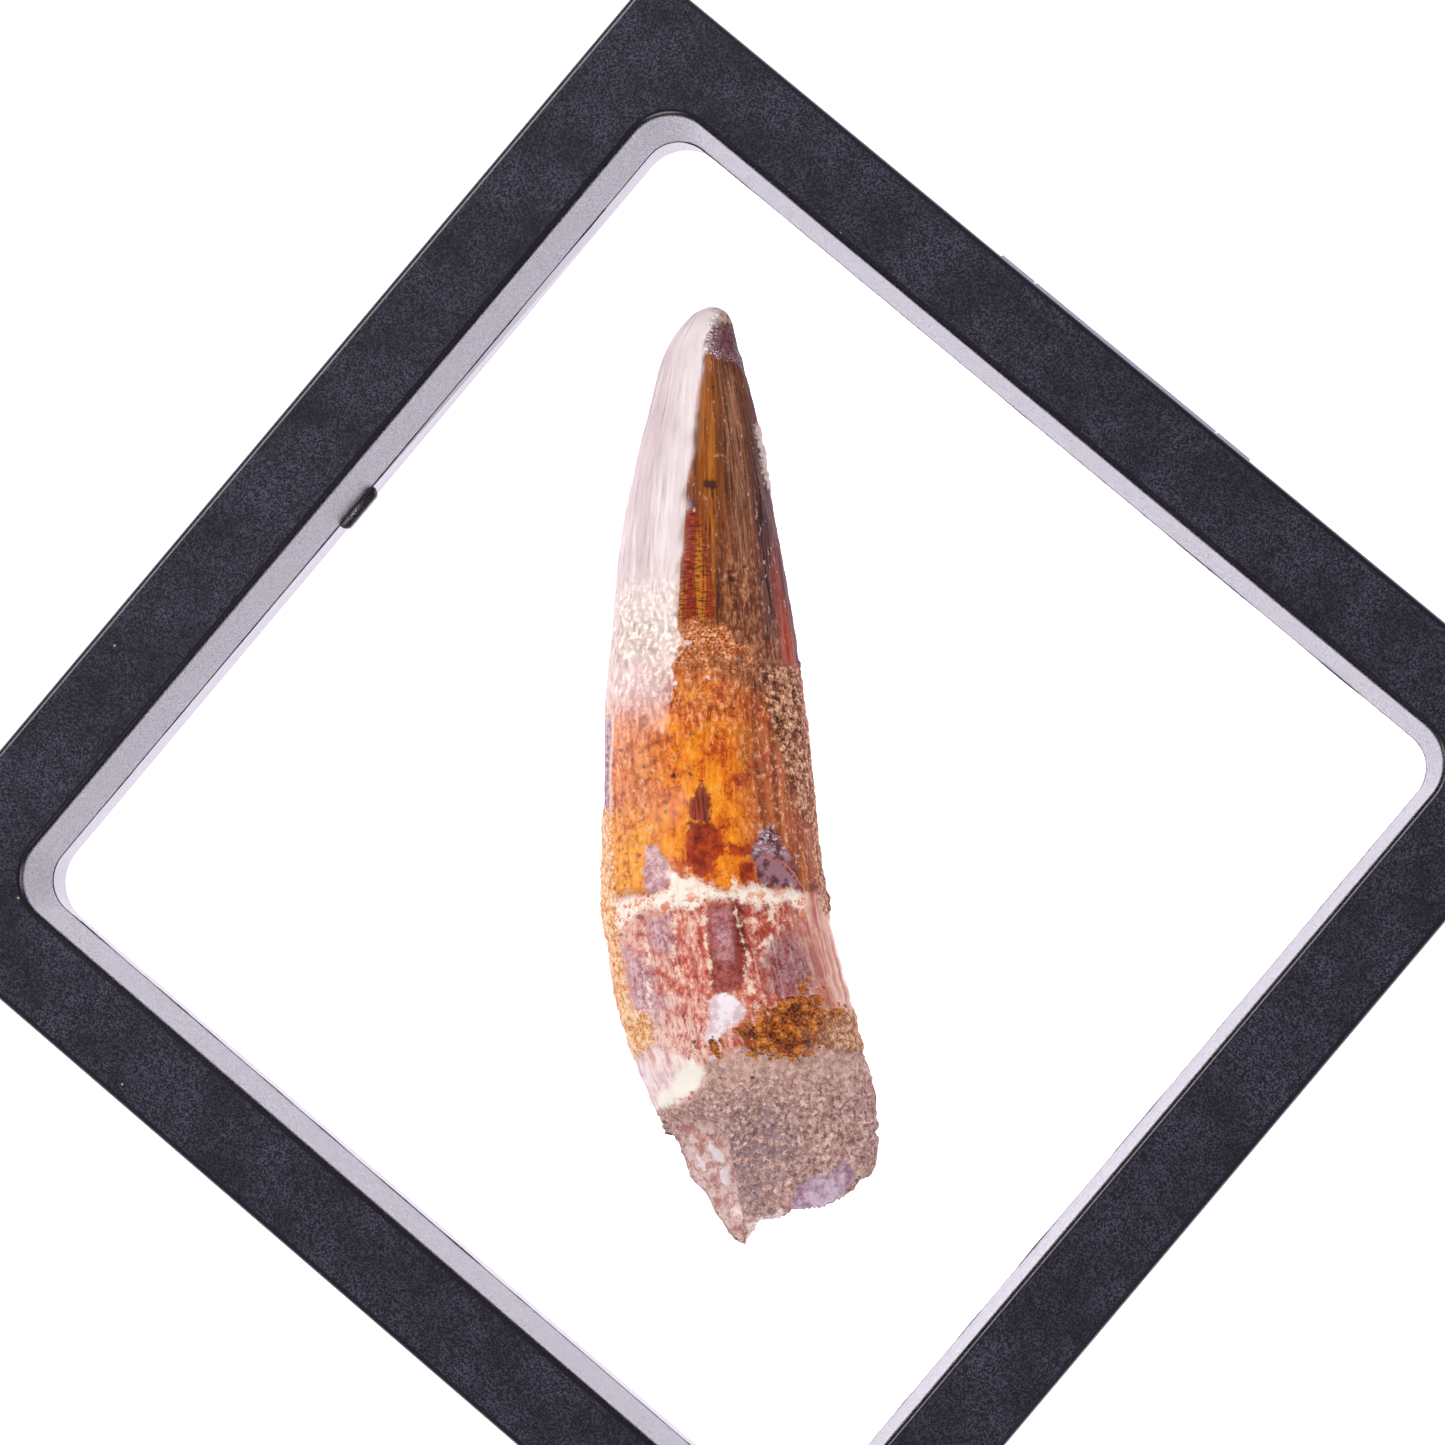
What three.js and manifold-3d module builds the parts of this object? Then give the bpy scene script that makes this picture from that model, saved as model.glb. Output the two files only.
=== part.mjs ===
// A fossil tooth held between the two clear films of a hinged black display frame.
// Millimetres. The frame lies on its back, +Z is up out of its front face, the hinge is on the +Y side.

import * as THREE from 'three';
import { mergeVertices } from 'three/addons/utils/BufferGeometryUtils.js';
import Module from 'manifold-3d';

const wasm = await Module();
wasm.setup();

// Frame
const FRAME_SIDE = 110;
const FRAME_DEPTH = 20;
const BAR_WIDTH = 8.3;
const OUTER_CORNER_RADIUS = 2;
const WINDOW_CORNER_RADIUS = 4.3;
const WINDOW_DRAFT = 0.73;
const EDGE_ROUNDING = 0.6;
const PARTING_GAP = 0.1;
const CORNER_STEPS = 6;
const SPLIT_Z = FRAME_DEPTH / 2;
const WINDOW_HALF = FRAME_SIDE / 2 - BAR_WIDTH;
const SPLIT_WINDOW_HALF = WINDOW_HALF - WINDOW_DRAFT;

// Film
const FILM_THICKNESS = 0.2;
const FILM_GAP = 0.03;
const FILM_CLAMP_WIDTH = 2.8;
const FILM_REBATE_DEPTH = 0.28;
const FILM_REBATE_WIDTH = 3.4;
const FILM_REBATE_CORNER_RADIUS = 0.5;
const FILM_CELLS = 22;
const FILM_TOOTH_CLEARANCE = 0.8;
const FILM_BREAK_OVERHANG = 3;
const FILM_RELAX_PASSES = 900;

// Hinge, moulded in one with the two halves
const HINGE_LENGTH = 29.7;
const HINGE_BARREL_RADIUS = 0.85;
const HINGE_OFFSET = 0.35;
const HINGE_EAR_LENGTH = 4;
const HINGE_END_GAP = 0.3;
const HINGE_RELIEF = 0.3;
const STUB_RADIUS = 0.4;
const STUB_LENGTH = 3;
const SOCKET_RADIUS = 0.55;
const SOCKET_DEPTH = 3.4;
const ROUND_SIDES = 24;

// Lug in the middle of the -X window wall of the back half
const LUG_LENGTH = 4.8;
const LUG_REACH = 1.15;
const LUG_THICKNESS = 1.3;
const LUG_CORNER_RADIUS = 0.7;
const LUG_ROOT = 0.6;
const LUG_TOP_Z = SPLIT_Z - 0.65;

// Tooth, in its own axes: y from the lowest point of the broken root to the tip, x to its right side
const TOOTH_LENGTH = 86;
const TOOTH_THICKNESS_RATIO = 0.8;
const TOOTH_MAX_HALF_THICKNESS = 8.3;
const TOOTH_TURN = THREE.MathUtils.degToRad(42);
const TOOTH_ROOT = new THREE.Vector2(25.3, -28.5);
const TOOTH_SIDES = 32;
const TOOTH_BODY_RINGS = 38;
const TOOTH_TIP_RINGS = 5;
const TOOTH_TIP_START = 82;
const BREAK_BLEND_LENGTH = 22;
const BREAK_RINGS = 4;

// How far the left and the right side stand from the tooth's own y axis: [y, left, right]
const TOOTH_SIDE_STATIONS = [
  [-2, -5.4, 13.3],
  [7, -6.8, 13.0],
  [13, -8.3, 12.4],
  [18, -9.8, 11.4],
  [24, -11.1, 10.2],
  [31, -11.7, 8.6],
  [40, -11.5, 7.5],
  [50, -11.0, 6.6],
  [60, -9.8, 5.7],
  [70, -8.1, 4.4],
  [77.5, -6.0, 3.1],
  [82, -4.6, 2.1],
  [84.5, -3.0, 1.3],
  [86, -0.8, -0.4],
];

// How far up the tooth the break reaches, across its width: [x, y]
const BREAK_STATIONS = [
  [-9, 14.5],
  [-5.3, 8.4],
  [-2.8, 4.2],
  [0, 0],
  [1.6, 1.6],
  [4.2, 2.6],
  [8.6, 3.6],
  [10.8, 4.6],
  [13.4, 8.6],
];

const BACK_BREAK_RISE = 5;
const PULP_HOLLOW = 1.4;

function column(stations, index) {
  return stations.map((row) => [row[0], row[index]]);
}

// A smooth curve through a few stations, read at any place along them
function along(stations, place) {
  const last = stations.length - 1;
  let i = 0;
  while (i < last - 1 && place > stations[i + 1][0]) i += 1;
  const [x0, y0] = stations[i];
  const [x1, y1] = stations[i + 1];
  const before = stations[Math.max(i - 1, 0)];
  const after = stations[Math.min(i + 2, last)];
  const span = x1 - x0;
  const t = THREE.MathUtils.clamp((place - x0) / span, 0, 1);
  const slope0 = (y1 - before[1]) / (x1 - before[0]);
  const slope1 = (after[1] - y0) / (after[0] - x0);
  const t2 = t * t;
  const t3 = t2 * t;
  return (
    (2 * t3 - 3 * t2 + 1) * y0 +
    (t3 - 2 * t2 + t) * span * slope0 +
    (3 * t2 - 2 * t3) * y1 +
    (t3 - t2) * span * slope1
  );
}

const LEFT_SIDE = column(TOOTH_SIDE_STATIONS, 1);
const RIGHT_SIDE = column(TOOTH_SIDE_STATIONS, 2);

// Middle, half width and half thickness of the tooth at a height y
function toothSection(y) {
  const left = along(LEFT_SIDE, y);
  const right = along(RIGHT_SIDE, y);
  const halfWidth = (right - left) / 2;
  const halfThickness = Math.min(halfWidth * TOOTH_THICKNESS_RATIO, TOOTH_MAX_HALF_THICKNESS);
  return { middle: (left + right) / 2, halfWidth, halfThickness };
}

// A smooth bump that is 1 at a centre and 0 at a reach from it
function bump(value, centre, reach) {
  const d = Math.abs(value - centre) / reach;
  return d >= 1 ? 0 : (1 - d * d) ** 2;
}

// Lumps, ledges and facets of the surface, as a fraction of the section's radius.
// The angle is 0 on the right side and a quarter turn on the front.
function toothRelief(y, angle) {
  const front = Math.sin(angle);
  const right = Math.cos(angle);
  const facetRidge = 0.02 * bump(right, -0.25, 0.2) * Math.max(front, 0) * bump(y, 60, 26);
  const crownLedge = 0.018 * THREE.MathUtils.smoothstep(y, 29, 32);
  const rightCrust = 0.035 * bump(y, 50, 14) * bump(right, 0.8, 0.5);
  const collarCrust = 0.03 * bump(y, 20, 5) * bump(right, 0.45, 0.6) * Math.max(front, 0);
  const leftCrust = 0.025 * bump(y, 23, 12) * bump(right, -0.95, 0.4);
  const matrixDip = -0.04 * bump(y, 9, 8) * Math.max(front, 0);
  const waves = 0.006 * Math.sin(3 * angle + 0.17 * y) + 0.005 * Math.sin(7 * angle - 0.41 * y);
  const rough = 0.012 * Math.sin(0.9 * y + 5 * angle) * Math.sin(1.7 * y - 3 * angle + 1);
  const rootRough = rough * (1 - THREE.MathUtils.smoothstep(y, 20, 32));
  return facetRidge + crownLedge + rightCrust + collarCrust + leftCrust + matrixDip + waves + rootRough;
}

// The height of the broken end at a point of the tooth's cross-section
function breakHeight(x, z) {
  const back = THREE.MathUtils.clamp(-z / TOOTH_MAX_HALF_THICKNESS, 0, 1);
  const chips = 0.5 * Math.sin(1.9 * x + 0.6 * z) + 0.35 * Math.sin(1.3 * z - 2.7 * x);
  return along(BREAK_STATIONS, x) + BACK_BREAK_RISE * back + chips * back;
}

function toothSurfacePoint(y, angle) {
  const nominal = toothSection(y);
  let height = y;
  if (y < BREAK_BLEND_LENGTH) {
    const x = nominal.middle + nominal.halfWidth * Math.cos(angle);
    const start = breakHeight(x, nominal.halfThickness * Math.sin(angle));
    height = start + (y / BREAK_BLEND_LENGTH) * (BREAK_BLEND_LENGTH - start);
  }
  const section = toothSection(height);
  const swell = 1 + toothRelief(height, angle);
  return new THREE.Vector3(
    section.middle + swell * section.halfWidth * Math.cos(angle),
    height,
    swell * section.halfThickness * Math.sin(angle),
  );
}

function toothRingHeights() {
  const heights = [];
  for (let i = 0; i < TOOTH_BODY_RINGS; i += 1) {
    heights.push((TOOTH_TIP_START * i) / TOOTH_BODY_RINGS);
  }
  for (let i = 0; i < TOOTH_TIP_RINGS; i += 1) {
    const turn = (Math.PI / 2) * (i / TOOTH_TIP_RINGS);
    heights.push(TOOTH_TIP_START + (TOOTH_LENGTH - TOOTH_TIP_START) * Math.sin(turn));
  }
  return heights;
}

// Closed geometry from rings of equal length, with an end point on each side
function capRings(rings, firstPoint, lastPoint) {
  const count = rings[0].length;
  const points = [firstPoint, ...rings.flat(), lastPoint];
  const index = [];
  const at = (ring, side) => 1 + ring * count + (side % count);
  for (let side = 0; side < count; side += 1) {
    index.push(0, at(0, side), at(0, side + 1));
    index.push(points.length - 1, at(rings.length - 1, side + 1), at(rings.length - 1, side));
    for (let ring = 0; ring < rings.length - 1; ring += 1) {
      index.push(at(ring, side), at(ring + 1, side + 1), at(ring, side + 1));
      index.push(at(ring, side), at(ring + 1, side), at(ring + 1, side + 1));
    }
  }
  return indexedGeometry(points, index);
}

function indexedGeometry(points, index) {
  const geometry = new THREE.BufferGeometry();
  geometry.setFromPoints(points);
  geometry.setIndex(index);
  geometry.computeVertexNormals();
  return geometry;
}

function toothGeometry() {
  const angles = Array.from({ length: TOOTH_SIDES }, (_, i) => (2 * Math.PI * i) / TOOTH_SIDES);
  const surface = toothRingHeights().map((y) => angles.map((angle) => toothSurfacePoint(y, angle)));
  const rim = surface[0];
  const middle = toothSection(0).middle;
  const breakPoint = (point, share) => {
    const x = middle + (point.x - middle) * share;
    const z = point.z * share;
    const hollow = PULP_HOLLOW * (1 - share * share);
    return new THREE.Vector3(x, breakHeight(x, z) + hollow, z);
  };
  const broken = [];
  for (let i = 1; i < BREAK_RINGS; i += 1) {
    broken.push(rim.map((point) => breakPoint(point, i / BREAK_RINGS)));
  }
  const tip = toothSection(TOOTH_LENGTH);
  return capRings(
    [...broken, ...surface],
    breakPoint(rim[0], 0),
    new THREE.Vector3(tip.middle, TOOTH_LENGTH, 0),
  );
}

// How far the tooth's front (side 1) or back (side -1) stands off the split plane, 0 beside the tooth.
// It goes on a little past the sharp edge of the break, which the film bridges.
function toothHeight(x, y, side) {
  const local = new THREE.Vector2(x, y).sub(TOOTH_ROOT).rotateAround(new THREE.Vector2(), -TOOTH_TURN);
  const start = breakHeight(local.x, 0);
  if (local.y < start - FILM_BREAK_OVERHANG || local.y > TOOTH_LENGTH) return 0;
  const height = Math.max(local.y, start);
  const section = toothSection(height);
  const across = (local.x - section.middle) / section.halfWidth;
  if (Math.abs(across) >= 1) return 0;
  const swell = 1 + Math.max(toothRelief(height, side * Math.acos(across)), 0);
  return swell * section.halfThickness * Math.sqrt(1 - across * across);
}

// A film clamped round the window and stretched over one side of the tooth.
// Each point settles to the mean of its neighbours, unless the tooth holds it higher.
function filmHeights(places, side) {
  const last = places.length - 1;
  const inside = (i) => i > 1 && i < last - 1;
  const held = places.map((x) => places.map((y) => toothHeight(x, y, side)));
  const heights = places.map(() => places.map(() => 0));
  for (let pass = 0; pass < FILM_RELAX_PASSES; pass += 1) {
    for (let i = 2; i < last - 1; i += 1) {
      for (let j = 2; j < last - 1; j += 1) {
        const mean = (heights[i - 1][j] + heights[i + 1][j] + heights[i][j - 1] + heights[i][j + 1]) / 4;
        const rest = held[i][j] > 0 ? held[i][j] + FILM_TOOTH_CLEARANCE : 0;
        heights[i][j] = inside(i) && inside(j) ? Math.max(mean, rest) : 0;
      }
    }
  }
  return heights;
}

function filmGeometry(side) {
  const places = [-SPLIT_WINDOW_HALF - FILM_CLAMP_WIDTH];
  for (let i = 0; i <= FILM_CELLS; i += 1) {
    places.push(SPLIT_WINDOW_HALF * ((2 * i) / FILM_CELLS - 1));
  }
  places.push(SPLIT_WINDOW_HALF + FILM_CLAMP_WIDTH);
  const heights = filmHeights(places, side);
  const size = places.length;
  const points = [];
  for (const offset of [FILM_GAP, FILM_GAP + FILM_THICKNESS]) {
    for (let i = 0; i < size; i += 1) {
      for (let j = 0; j < size; j += 1) {
        points.push(new THREE.Vector3(places[i], places[j], SPLIT_Z + side * (heights[i][j] + offset)));
      }
    }
  }
  const index = [];
  const inner = (i, j) => i * size + j;
  const outer = (i, j) => size * size + i * size + j;
  const quad = (a, b, c, d) => {
    const order = side > 0 ? [a, b, c, a, c, d] : [a, c, b, a, d, c];
    index.push(...order);
  };
  const last = size - 1;
  for (let i = 0; i < last; i += 1) {
    for (let j = 0; j < last; j += 1) {
      quad(outer(i, j), outer(i + 1, j), outer(i + 1, j + 1), outer(i, j + 1));
      quad(inner(i, j), inner(i, j + 1), inner(i + 1, j + 1), inner(i + 1, j));
    }
    quad(inner(i, 0), inner(i + 1, 0), outer(i + 1, 0), outer(i, 0));
    quad(inner(i + 1, last), inner(i, last), outer(i, last), outer(i + 1, last));
    quad(inner(0, i + 1), inner(0, i), outer(0, i), outer(0, i + 1));
    quad(inner(last, i), inner(last, i + 1), outer(last, i + 1), outer(last, i));
  }
  return indexedGeometry(points, index);
}

// One level round the frame: a square with rounded corners
function squareLoop(half, radius, z) {
  const centre = half - radius;
  const loop = [];
  for (let corner = 0; corner < 4; corner += 1) {
    const cx = corner === 0 || corner === 3 ? centre : -centre;
    const cy = corner < 2 ? centre : -centre;
    for (let step = 0; step <= CORNER_STEPS; step += 1) {
      const angle = (Math.PI / 2) * (corner + step / CORNER_STEPS);
      loop.push(new THREE.Vector3(cx + radius * Math.cos(angle), cy + radius * Math.sin(angle), z));
    }
  }
  return loop;
}

// The bar's section swept round the frame. Each entry is half the square's side, its corner radius
// and its height over the split plane.
function halfFrameGeometry(side) {
  const half = FRAME_SIDE / 2;
  const soft = EDGE_ROUNDING * (1 - Math.SQRT1_2);
  const splitRadius = WINDOW_CORNER_RADIUS - WINDOW_DRAFT;
  const section = [
    [half, OUTER_CORNER_RADIUS, PARTING_GAP / 2],
    [half, OUTER_CORNER_RADIUS, SPLIT_Z - EDGE_ROUNDING],
    [half - soft, OUTER_CORNER_RADIUS - soft, SPLIT_Z - soft],
    [half - EDGE_ROUNDING, OUTER_CORNER_RADIUS - EDGE_ROUNDING, SPLIT_Z],
    [WINDOW_HALF + EDGE_ROUNDING, WINDOW_CORNER_RADIUS + EDGE_ROUNDING, SPLIT_Z],
    [WINDOW_HALF + soft, WINDOW_CORNER_RADIUS + soft, SPLIT_Z - soft],
    [WINDOW_HALF, WINDOW_CORNER_RADIUS, SPLIT_Z - EDGE_ROUNDING],
    [SPLIT_WINDOW_HALF, splitRadius, FILM_REBATE_DEPTH],
    [SPLIT_WINDOW_HALF + FILM_REBATE_WIDTH, FILM_REBATE_CORNER_RADIUS, FILM_REBATE_DEPTH],
    [SPLIT_WINDOW_HALF + FILM_REBATE_WIDTH, FILM_REBATE_CORNER_RADIUS, PARTING_GAP / 2],
  ];
  const loops = section.map(([size, radius, height]) => squareLoop(size, radius, SPLIT_Z + side * height));
  const count = loops[0].length;
  const index = [];
  for (let level = 0; level < loops.length; level += 1) {
    const next = (level + 1) % loops.length;
    for (let i = 0; i < count; i += 1) {
      const a = level * count + i;
      const b = level * count + ((i + 1) % count);
      const c = next * count + ((i + 1) % count);
      const d = next * count + i;
      const order = side > 0 ? [a, b, c, a, c, d] : [a, c, b, a, d, c];
      index.push(...order);
    }
  }
  return indexedGeometry(loops.flat(), index);
}

function toSolid(geometry) {
  const bare = geometry.clone();
  bare.deleteAttribute('normal');
  bare.deleteAttribute('uv');
  const merged = mergeVertices(bare, 1e-4);
  return new wasm.Manifold(
    new wasm.Mesh({
      numProp: 3,
      vertProperties: new Float32Array(merged.attributes.position.array),
      triVerts: new Uint32Array(merged.index.array),
    }),
  );
}

function toGeometry(solid) {
  const mesh = solid.getMesh();
  const geometry = new THREE.BufferGeometry();
  geometry.setAttribute('position', new THREE.BufferAttribute(mesh.vertProperties.slice(), 3));
  geometry.setIndex(new THREE.BufferAttribute(mesh.triVerts.slice(), 1));
  geometry.computeVertexNormals();
  return geometry;
}

// A round bar on the hinge's axis, from one place along X to another
function hingeRound(radius, fromX, toX) {
  const geometry = new THREE.CylinderGeometry(radius, radius, toX - fromX, ROUND_SIDES);
  geometry.rotateZ(Math.PI / 2);
  geometry.translate((fromX + toX) / 2, FRAME_SIDE / 2 + HINGE_OFFSET, SPLIT_Z);
  return toSolid(geometry);
}

const HINGE_END = HINGE_LENGTH / 2;
const EAR_INNER_END = HINGE_END - HINGE_EAR_LENGTH;
const BARREL_END = EAR_INNER_END - HINGE_END_GAP;

// The back half carries the two ears, each with a blind socket, and makes room for the barrel
function addEars(frame) {
  const room = hingeRound(HINGE_BARREL_RADIUS + HINGE_RELIEF, -EAR_INNER_END, EAR_INNER_END);
  let result = frame.subtract(room);
  for (const way of [-1, 1]) {
    const ends = [way * EAR_INNER_END, way * HINGE_END].sort((a, b) => a - b);
    result = result.add(hingeRound(HINGE_BARREL_RADIUS, ...ends));
  }
  for (const way of [-1, 1]) {
    const ends = [way * EAR_INNER_END, way * (EAR_INNER_END + SOCKET_DEPTH)].sort((a, b) => a - b);
    result = result.subtract(hingeRound(SOCKET_RADIUS, ...ends));
  }
  return result;
}

// The front half carries the barrel, with a stub at each end, and makes room for the ears
function addBarrel(frame) {
  let result = frame;
  for (const way of [-1, 1]) {
    const ends = [way * BARREL_END, way * (HINGE_END + HINGE_RELIEF)].sort((a, b) => a - b);
    result = result.subtract(hingeRound(HINGE_BARREL_RADIUS + HINGE_RELIEF, ...ends));
  }
  result = result.add(hingeRound(HINGE_BARREL_RADIUS, -BARREL_END, BARREL_END));
  const stubEnd = EAR_INNER_END + STUB_LENGTH;
  return result.add(hingeRound(STUB_RADIUS, -stubEnd, stubEnd));
}

function lugSolid() {
  const outline = new THREE.Shape();
  const wall = -SPLIT_WINDOW_HALF - LUG_ROOT;
  const nose = -SPLIT_WINDOW_HALF + LUG_REACH;
  const half = LUG_LENGTH / 2;
  outline.moveTo(wall, -half);
  outline.lineTo(nose - LUG_CORNER_RADIUS, -half);
  outline.absarc(nose - LUG_CORNER_RADIUS, -half + LUG_CORNER_RADIUS, LUG_CORNER_RADIUS, -Math.PI / 2, 0);
  outline.absarc(nose - LUG_CORNER_RADIUS, half - LUG_CORNER_RADIUS, LUG_CORNER_RADIUS, 0, Math.PI / 2);
  outline.lineTo(wall, half);
  outline.closePath();
  const options = { depth: LUG_THICKNESS, bevelEnabled: false, curveSegments: 5 };
  const geometry = new THREE.ExtrudeGeometry(outline, options);
  geometry.translate(0, 0, LUG_TOP_Z - LUG_THICKNESS);
  return toSolid(geometry);
}

const blackPlastic = { color: 0x2f3038, roughness: 0.5, metalness: 0 };
const clearFilm = { color: 0xf2f4f7, roughness: 0.1, metalness: 0, transparent: true, opacity: 0.2 };
const toothEnamel = { color: 0xb8702f, roughness: 0.45, metalness: 0 };

function piece(name, geometry, look) {
  const mesh = new THREE.Mesh(geometry, new THREE.MeshStandardMaterial(look));
  mesh.name = name;
  return mesh;
}

const framedTooth = new THREE.Group();
framedTooth.add(piece('back_frame', toGeometry(addEars(toSolid(halfFrameGeometry(-1))).add(lugSolid())), blackPlastic));
framedTooth.add(piece('front_frame', toGeometry(addBarrel(toSolid(halfFrameGeometry(1)))), blackPlastic));
framedTooth.add(piece('back_film', filmGeometry(-1), clearFilm));
framedTooth.add(piece('front_film', filmGeometry(1), clearFilm));

const tooth = piece('tooth', toothGeometry(), toothEnamel);
tooth.position.set(TOOTH_ROOT.x, TOOTH_ROOT.y, SPLIT_Z);
tooth.rotation.z = TOOTH_TURN;
framedTooth.add(tooth);

// The origin lies under the middle of the whole outline, the hinge barrel included
framedTooth.position.y = -(HINGE_OFFSET + HINGE_BARREL_RADIUS) / 2;

export default framedTooth;
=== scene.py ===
"""The looks of the framed fossil tooth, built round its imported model. Metres, in the model's own axes.

Sizes below are in millimetres where their name ends in _MM, and are turned into metres as meshes are made.
"""

import math

import bpy
import numpy as np
from mathutils import Matrix, Vector, noise


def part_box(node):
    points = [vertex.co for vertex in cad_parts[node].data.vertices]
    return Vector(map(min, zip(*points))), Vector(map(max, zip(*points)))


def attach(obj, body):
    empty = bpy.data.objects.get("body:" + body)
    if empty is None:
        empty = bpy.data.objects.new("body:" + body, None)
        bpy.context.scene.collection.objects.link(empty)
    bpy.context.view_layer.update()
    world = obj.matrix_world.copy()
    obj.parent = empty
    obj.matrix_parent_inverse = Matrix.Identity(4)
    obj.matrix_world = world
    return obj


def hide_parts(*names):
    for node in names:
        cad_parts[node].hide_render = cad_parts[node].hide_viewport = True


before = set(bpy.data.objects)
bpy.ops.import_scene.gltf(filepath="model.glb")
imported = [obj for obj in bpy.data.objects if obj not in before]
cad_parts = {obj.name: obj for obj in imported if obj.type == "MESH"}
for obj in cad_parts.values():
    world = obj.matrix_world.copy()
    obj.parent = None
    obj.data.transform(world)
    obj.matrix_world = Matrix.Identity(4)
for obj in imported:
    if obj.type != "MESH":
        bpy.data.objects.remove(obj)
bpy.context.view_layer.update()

MM = 0.001

# The frame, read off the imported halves
BACK_LOW, BACK_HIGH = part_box("back_frame")
FRONT_LOW, FRONT_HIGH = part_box("front_frame")
SIDE_MM = (BACK_HIGH[0] - BACK_LOW[0]) / MM
DEPTH_MM = FRONT_HIGH[2] / MM
SPLIT_MM = DEPTH_MM / 2
CENTRE_Y_MM = BACK_LOW[1] / MM + SIDE_MM / 2
HALF_MM = SIDE_MM / 2

# The frame's moulding, with the same sizes as in the model
BAR_MM = 8.3
OUTER_CORNER_MM = 2.0
WINDOW_CORNER_MM = 4.3
DRAFT_MM = 0.73
OUTER_ROUND_MM = 0.6
LIP_ROUND_MM = 0.6
PARTING_MM = 0.1
REBATE_WIDTH_MM = 3.4
REBATE_DEPTH_MM = 0.28
WINDOW_MM = HALF_MM - BAR_MM
SPLIT_WINDOW_MM = WINDOW_MM - DRAFT_MM
CORNER_STEPS = 14
ROUND_STEPS = 5
SUPPORT_MM = 0.05

# The hinge
HINGE_LENGTH_MM = 29.7
BARREL_RADIUS_MM = 0.85
HINGE_OFFSET_MM = 0.349
EAR_MM = 4.0
END_GAP_MM = 0.06
RELIEF_MM = 0.3
BARREL_SIDES = 40

# The lug on the -X window wall
LUG_LENGTH_MM = 4.8
LUG_REACH_MM = 0.8
LUG_THICK_MM = 1.3
LUG_CORNER_MM = 0.7
LUG_TOP_MM = SPLIT_MM - 0.65

# The films
FILM_MM = 0.1
FILM_GAP_MM = 0.05
FILM_CLAMP_MM = 2.8
FILM_CELLS = 260
FILM_COARSE = 5
FILM_FINE_REACH_MM = 33.5
FILM_CLEAR_MM = 0.08
FILM_PASSES = 700
FILM_OVER_RELAX = 1.95
FILM_MIRROR = 0.035

# The tooth, in its own axes: x to its right, y from the lowest point of its root to its tip, z to the front
TOOTH_LENGTH_MM = 86.0
THICKNESS_RATIO = 0.8
MOST_HALF_THICKNESS_MM = 8.3
TOOTH_TURN = math.radians(42)
TOOTH_ROOT_MM = (25.3, -28.5)
TOOTH_SIDES = 214
BREAK_BLEND_MM = 22.0
BREAK_BLEND_RINGS = 108
BODY_RINGS = 250
TIP_START_MM = 82.0
TIP_RINGS = 30
BREAK_RINGS = 30
BACK_BREAK_RISE_MM = 5.0
PULP_HOLLOW_MM = 1.4
RIDGE_MM = 0.25
RIDGE_SHIFT_MM = 0.5
FAR_MM = 6.0

SIDE_STATIONS_MM = np.array([
    (-2, -5.4, 13.3), (7, -6.8, 13.0), (13, -8.3, 12.4), (18, -9.8, 11.4), (24, -11.1, 10.2),
    (31, -11.7, 8.6), (40, -11.5, 7.5), (50, -11.0, 6.6), (60, -9.8, 5.7), (70, -8.1, 4.4),
    (77.5, -6.0, 3.1), (82, -4.6, 2.1), (84.5, -2.9, 1.5), (85.5, -1.8, 1.0), (86, -0.7, 0.2),
])
BREAK_STATIONS_MM = np.array([
    (-9, 14.5), (-7.6, 11.9), (-6.5, 10.6), (-5.4, 9.2), (-5.1, 7.9), (-4.7, 6.2), (-3.0, 4.3), (-1.9, 2.2),
    (-0.1, 0), (1.3, 1.1), (1.8, 1.9), (2.5, 2.1), (4.4, 2.4), (5.0, 3.0), (6.6, 2.9), (8.3, 3.2), (9.6, 3.8),
    (10.5, 4.4), (10.9, 5.1), (11.9, 5.6), (12.4, 6.6), (13.3, 8.6),
])

# Outlines of the tooth's markings on its front, (x, y) in its own axes
# The pale area is partly the crown's own worn colour and partly painted glare.
PALE_OUTLINE = [
    (-0.2, 88), (-0.2, 84.1), (-0.9, 82.2), (-1.2, 79.8), (-1.7, 77), (-2.0, 73.2), (-2.6, 69.5), (-2.9, 65.8),
    (-3.3, 62.1), (-3.5, 59.4), (-3.8, 56.6), (-3.6, 54.8), (-3.9, 53.2), (-4.4, 52.5), (-4.2, 51.1),
    (-4.4, 49.8), (-5.0, 48.6), (-6.0, 47.2), (-8.3, 46.6), (-9.7, 47.0), (-10.6, 47.5), (-16, 47.5), (-16, 88),
]
TIP_OUTLINE = [(-0.2, 88), (5, 88), (5, 79.6), (2.7, 79.7), (1.9, 80.7), (1.2, 80.6), (0.1, 81.0), (-1.0, 81.5), (-0.5, 83.4)]
PINK_OUTLINE = [(1.1, 80.3), (1.0, 72.2), (1.8, 63.9), (2.4, 60), (2.9, 64), (2.5, 69.5), (2.3, 74.2), (1.8, 78.9)]
PURPLE_OUTLINE = [
    (3.2, 73.3), (3.6, 74.4), (4.3, 70.7), (4.8, 65.9), (5.0, 61.2), (4.9, 56.5), (4.2, 54.7), (3.8, 58.3),
    (3.5, 63.9), (3.1, 68.6),
]
BEADS_OUTLINE = [
    (-3.8, 64.4), (-4.3, 61.2), (-4.8, 55.9), (-1.8, 55.8), (-0.5, 56.8), (-0.6, 61.1), (-1.3, 65.2), (-2.0, 67.6),
    (-2.7, 66.5),
]
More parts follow.
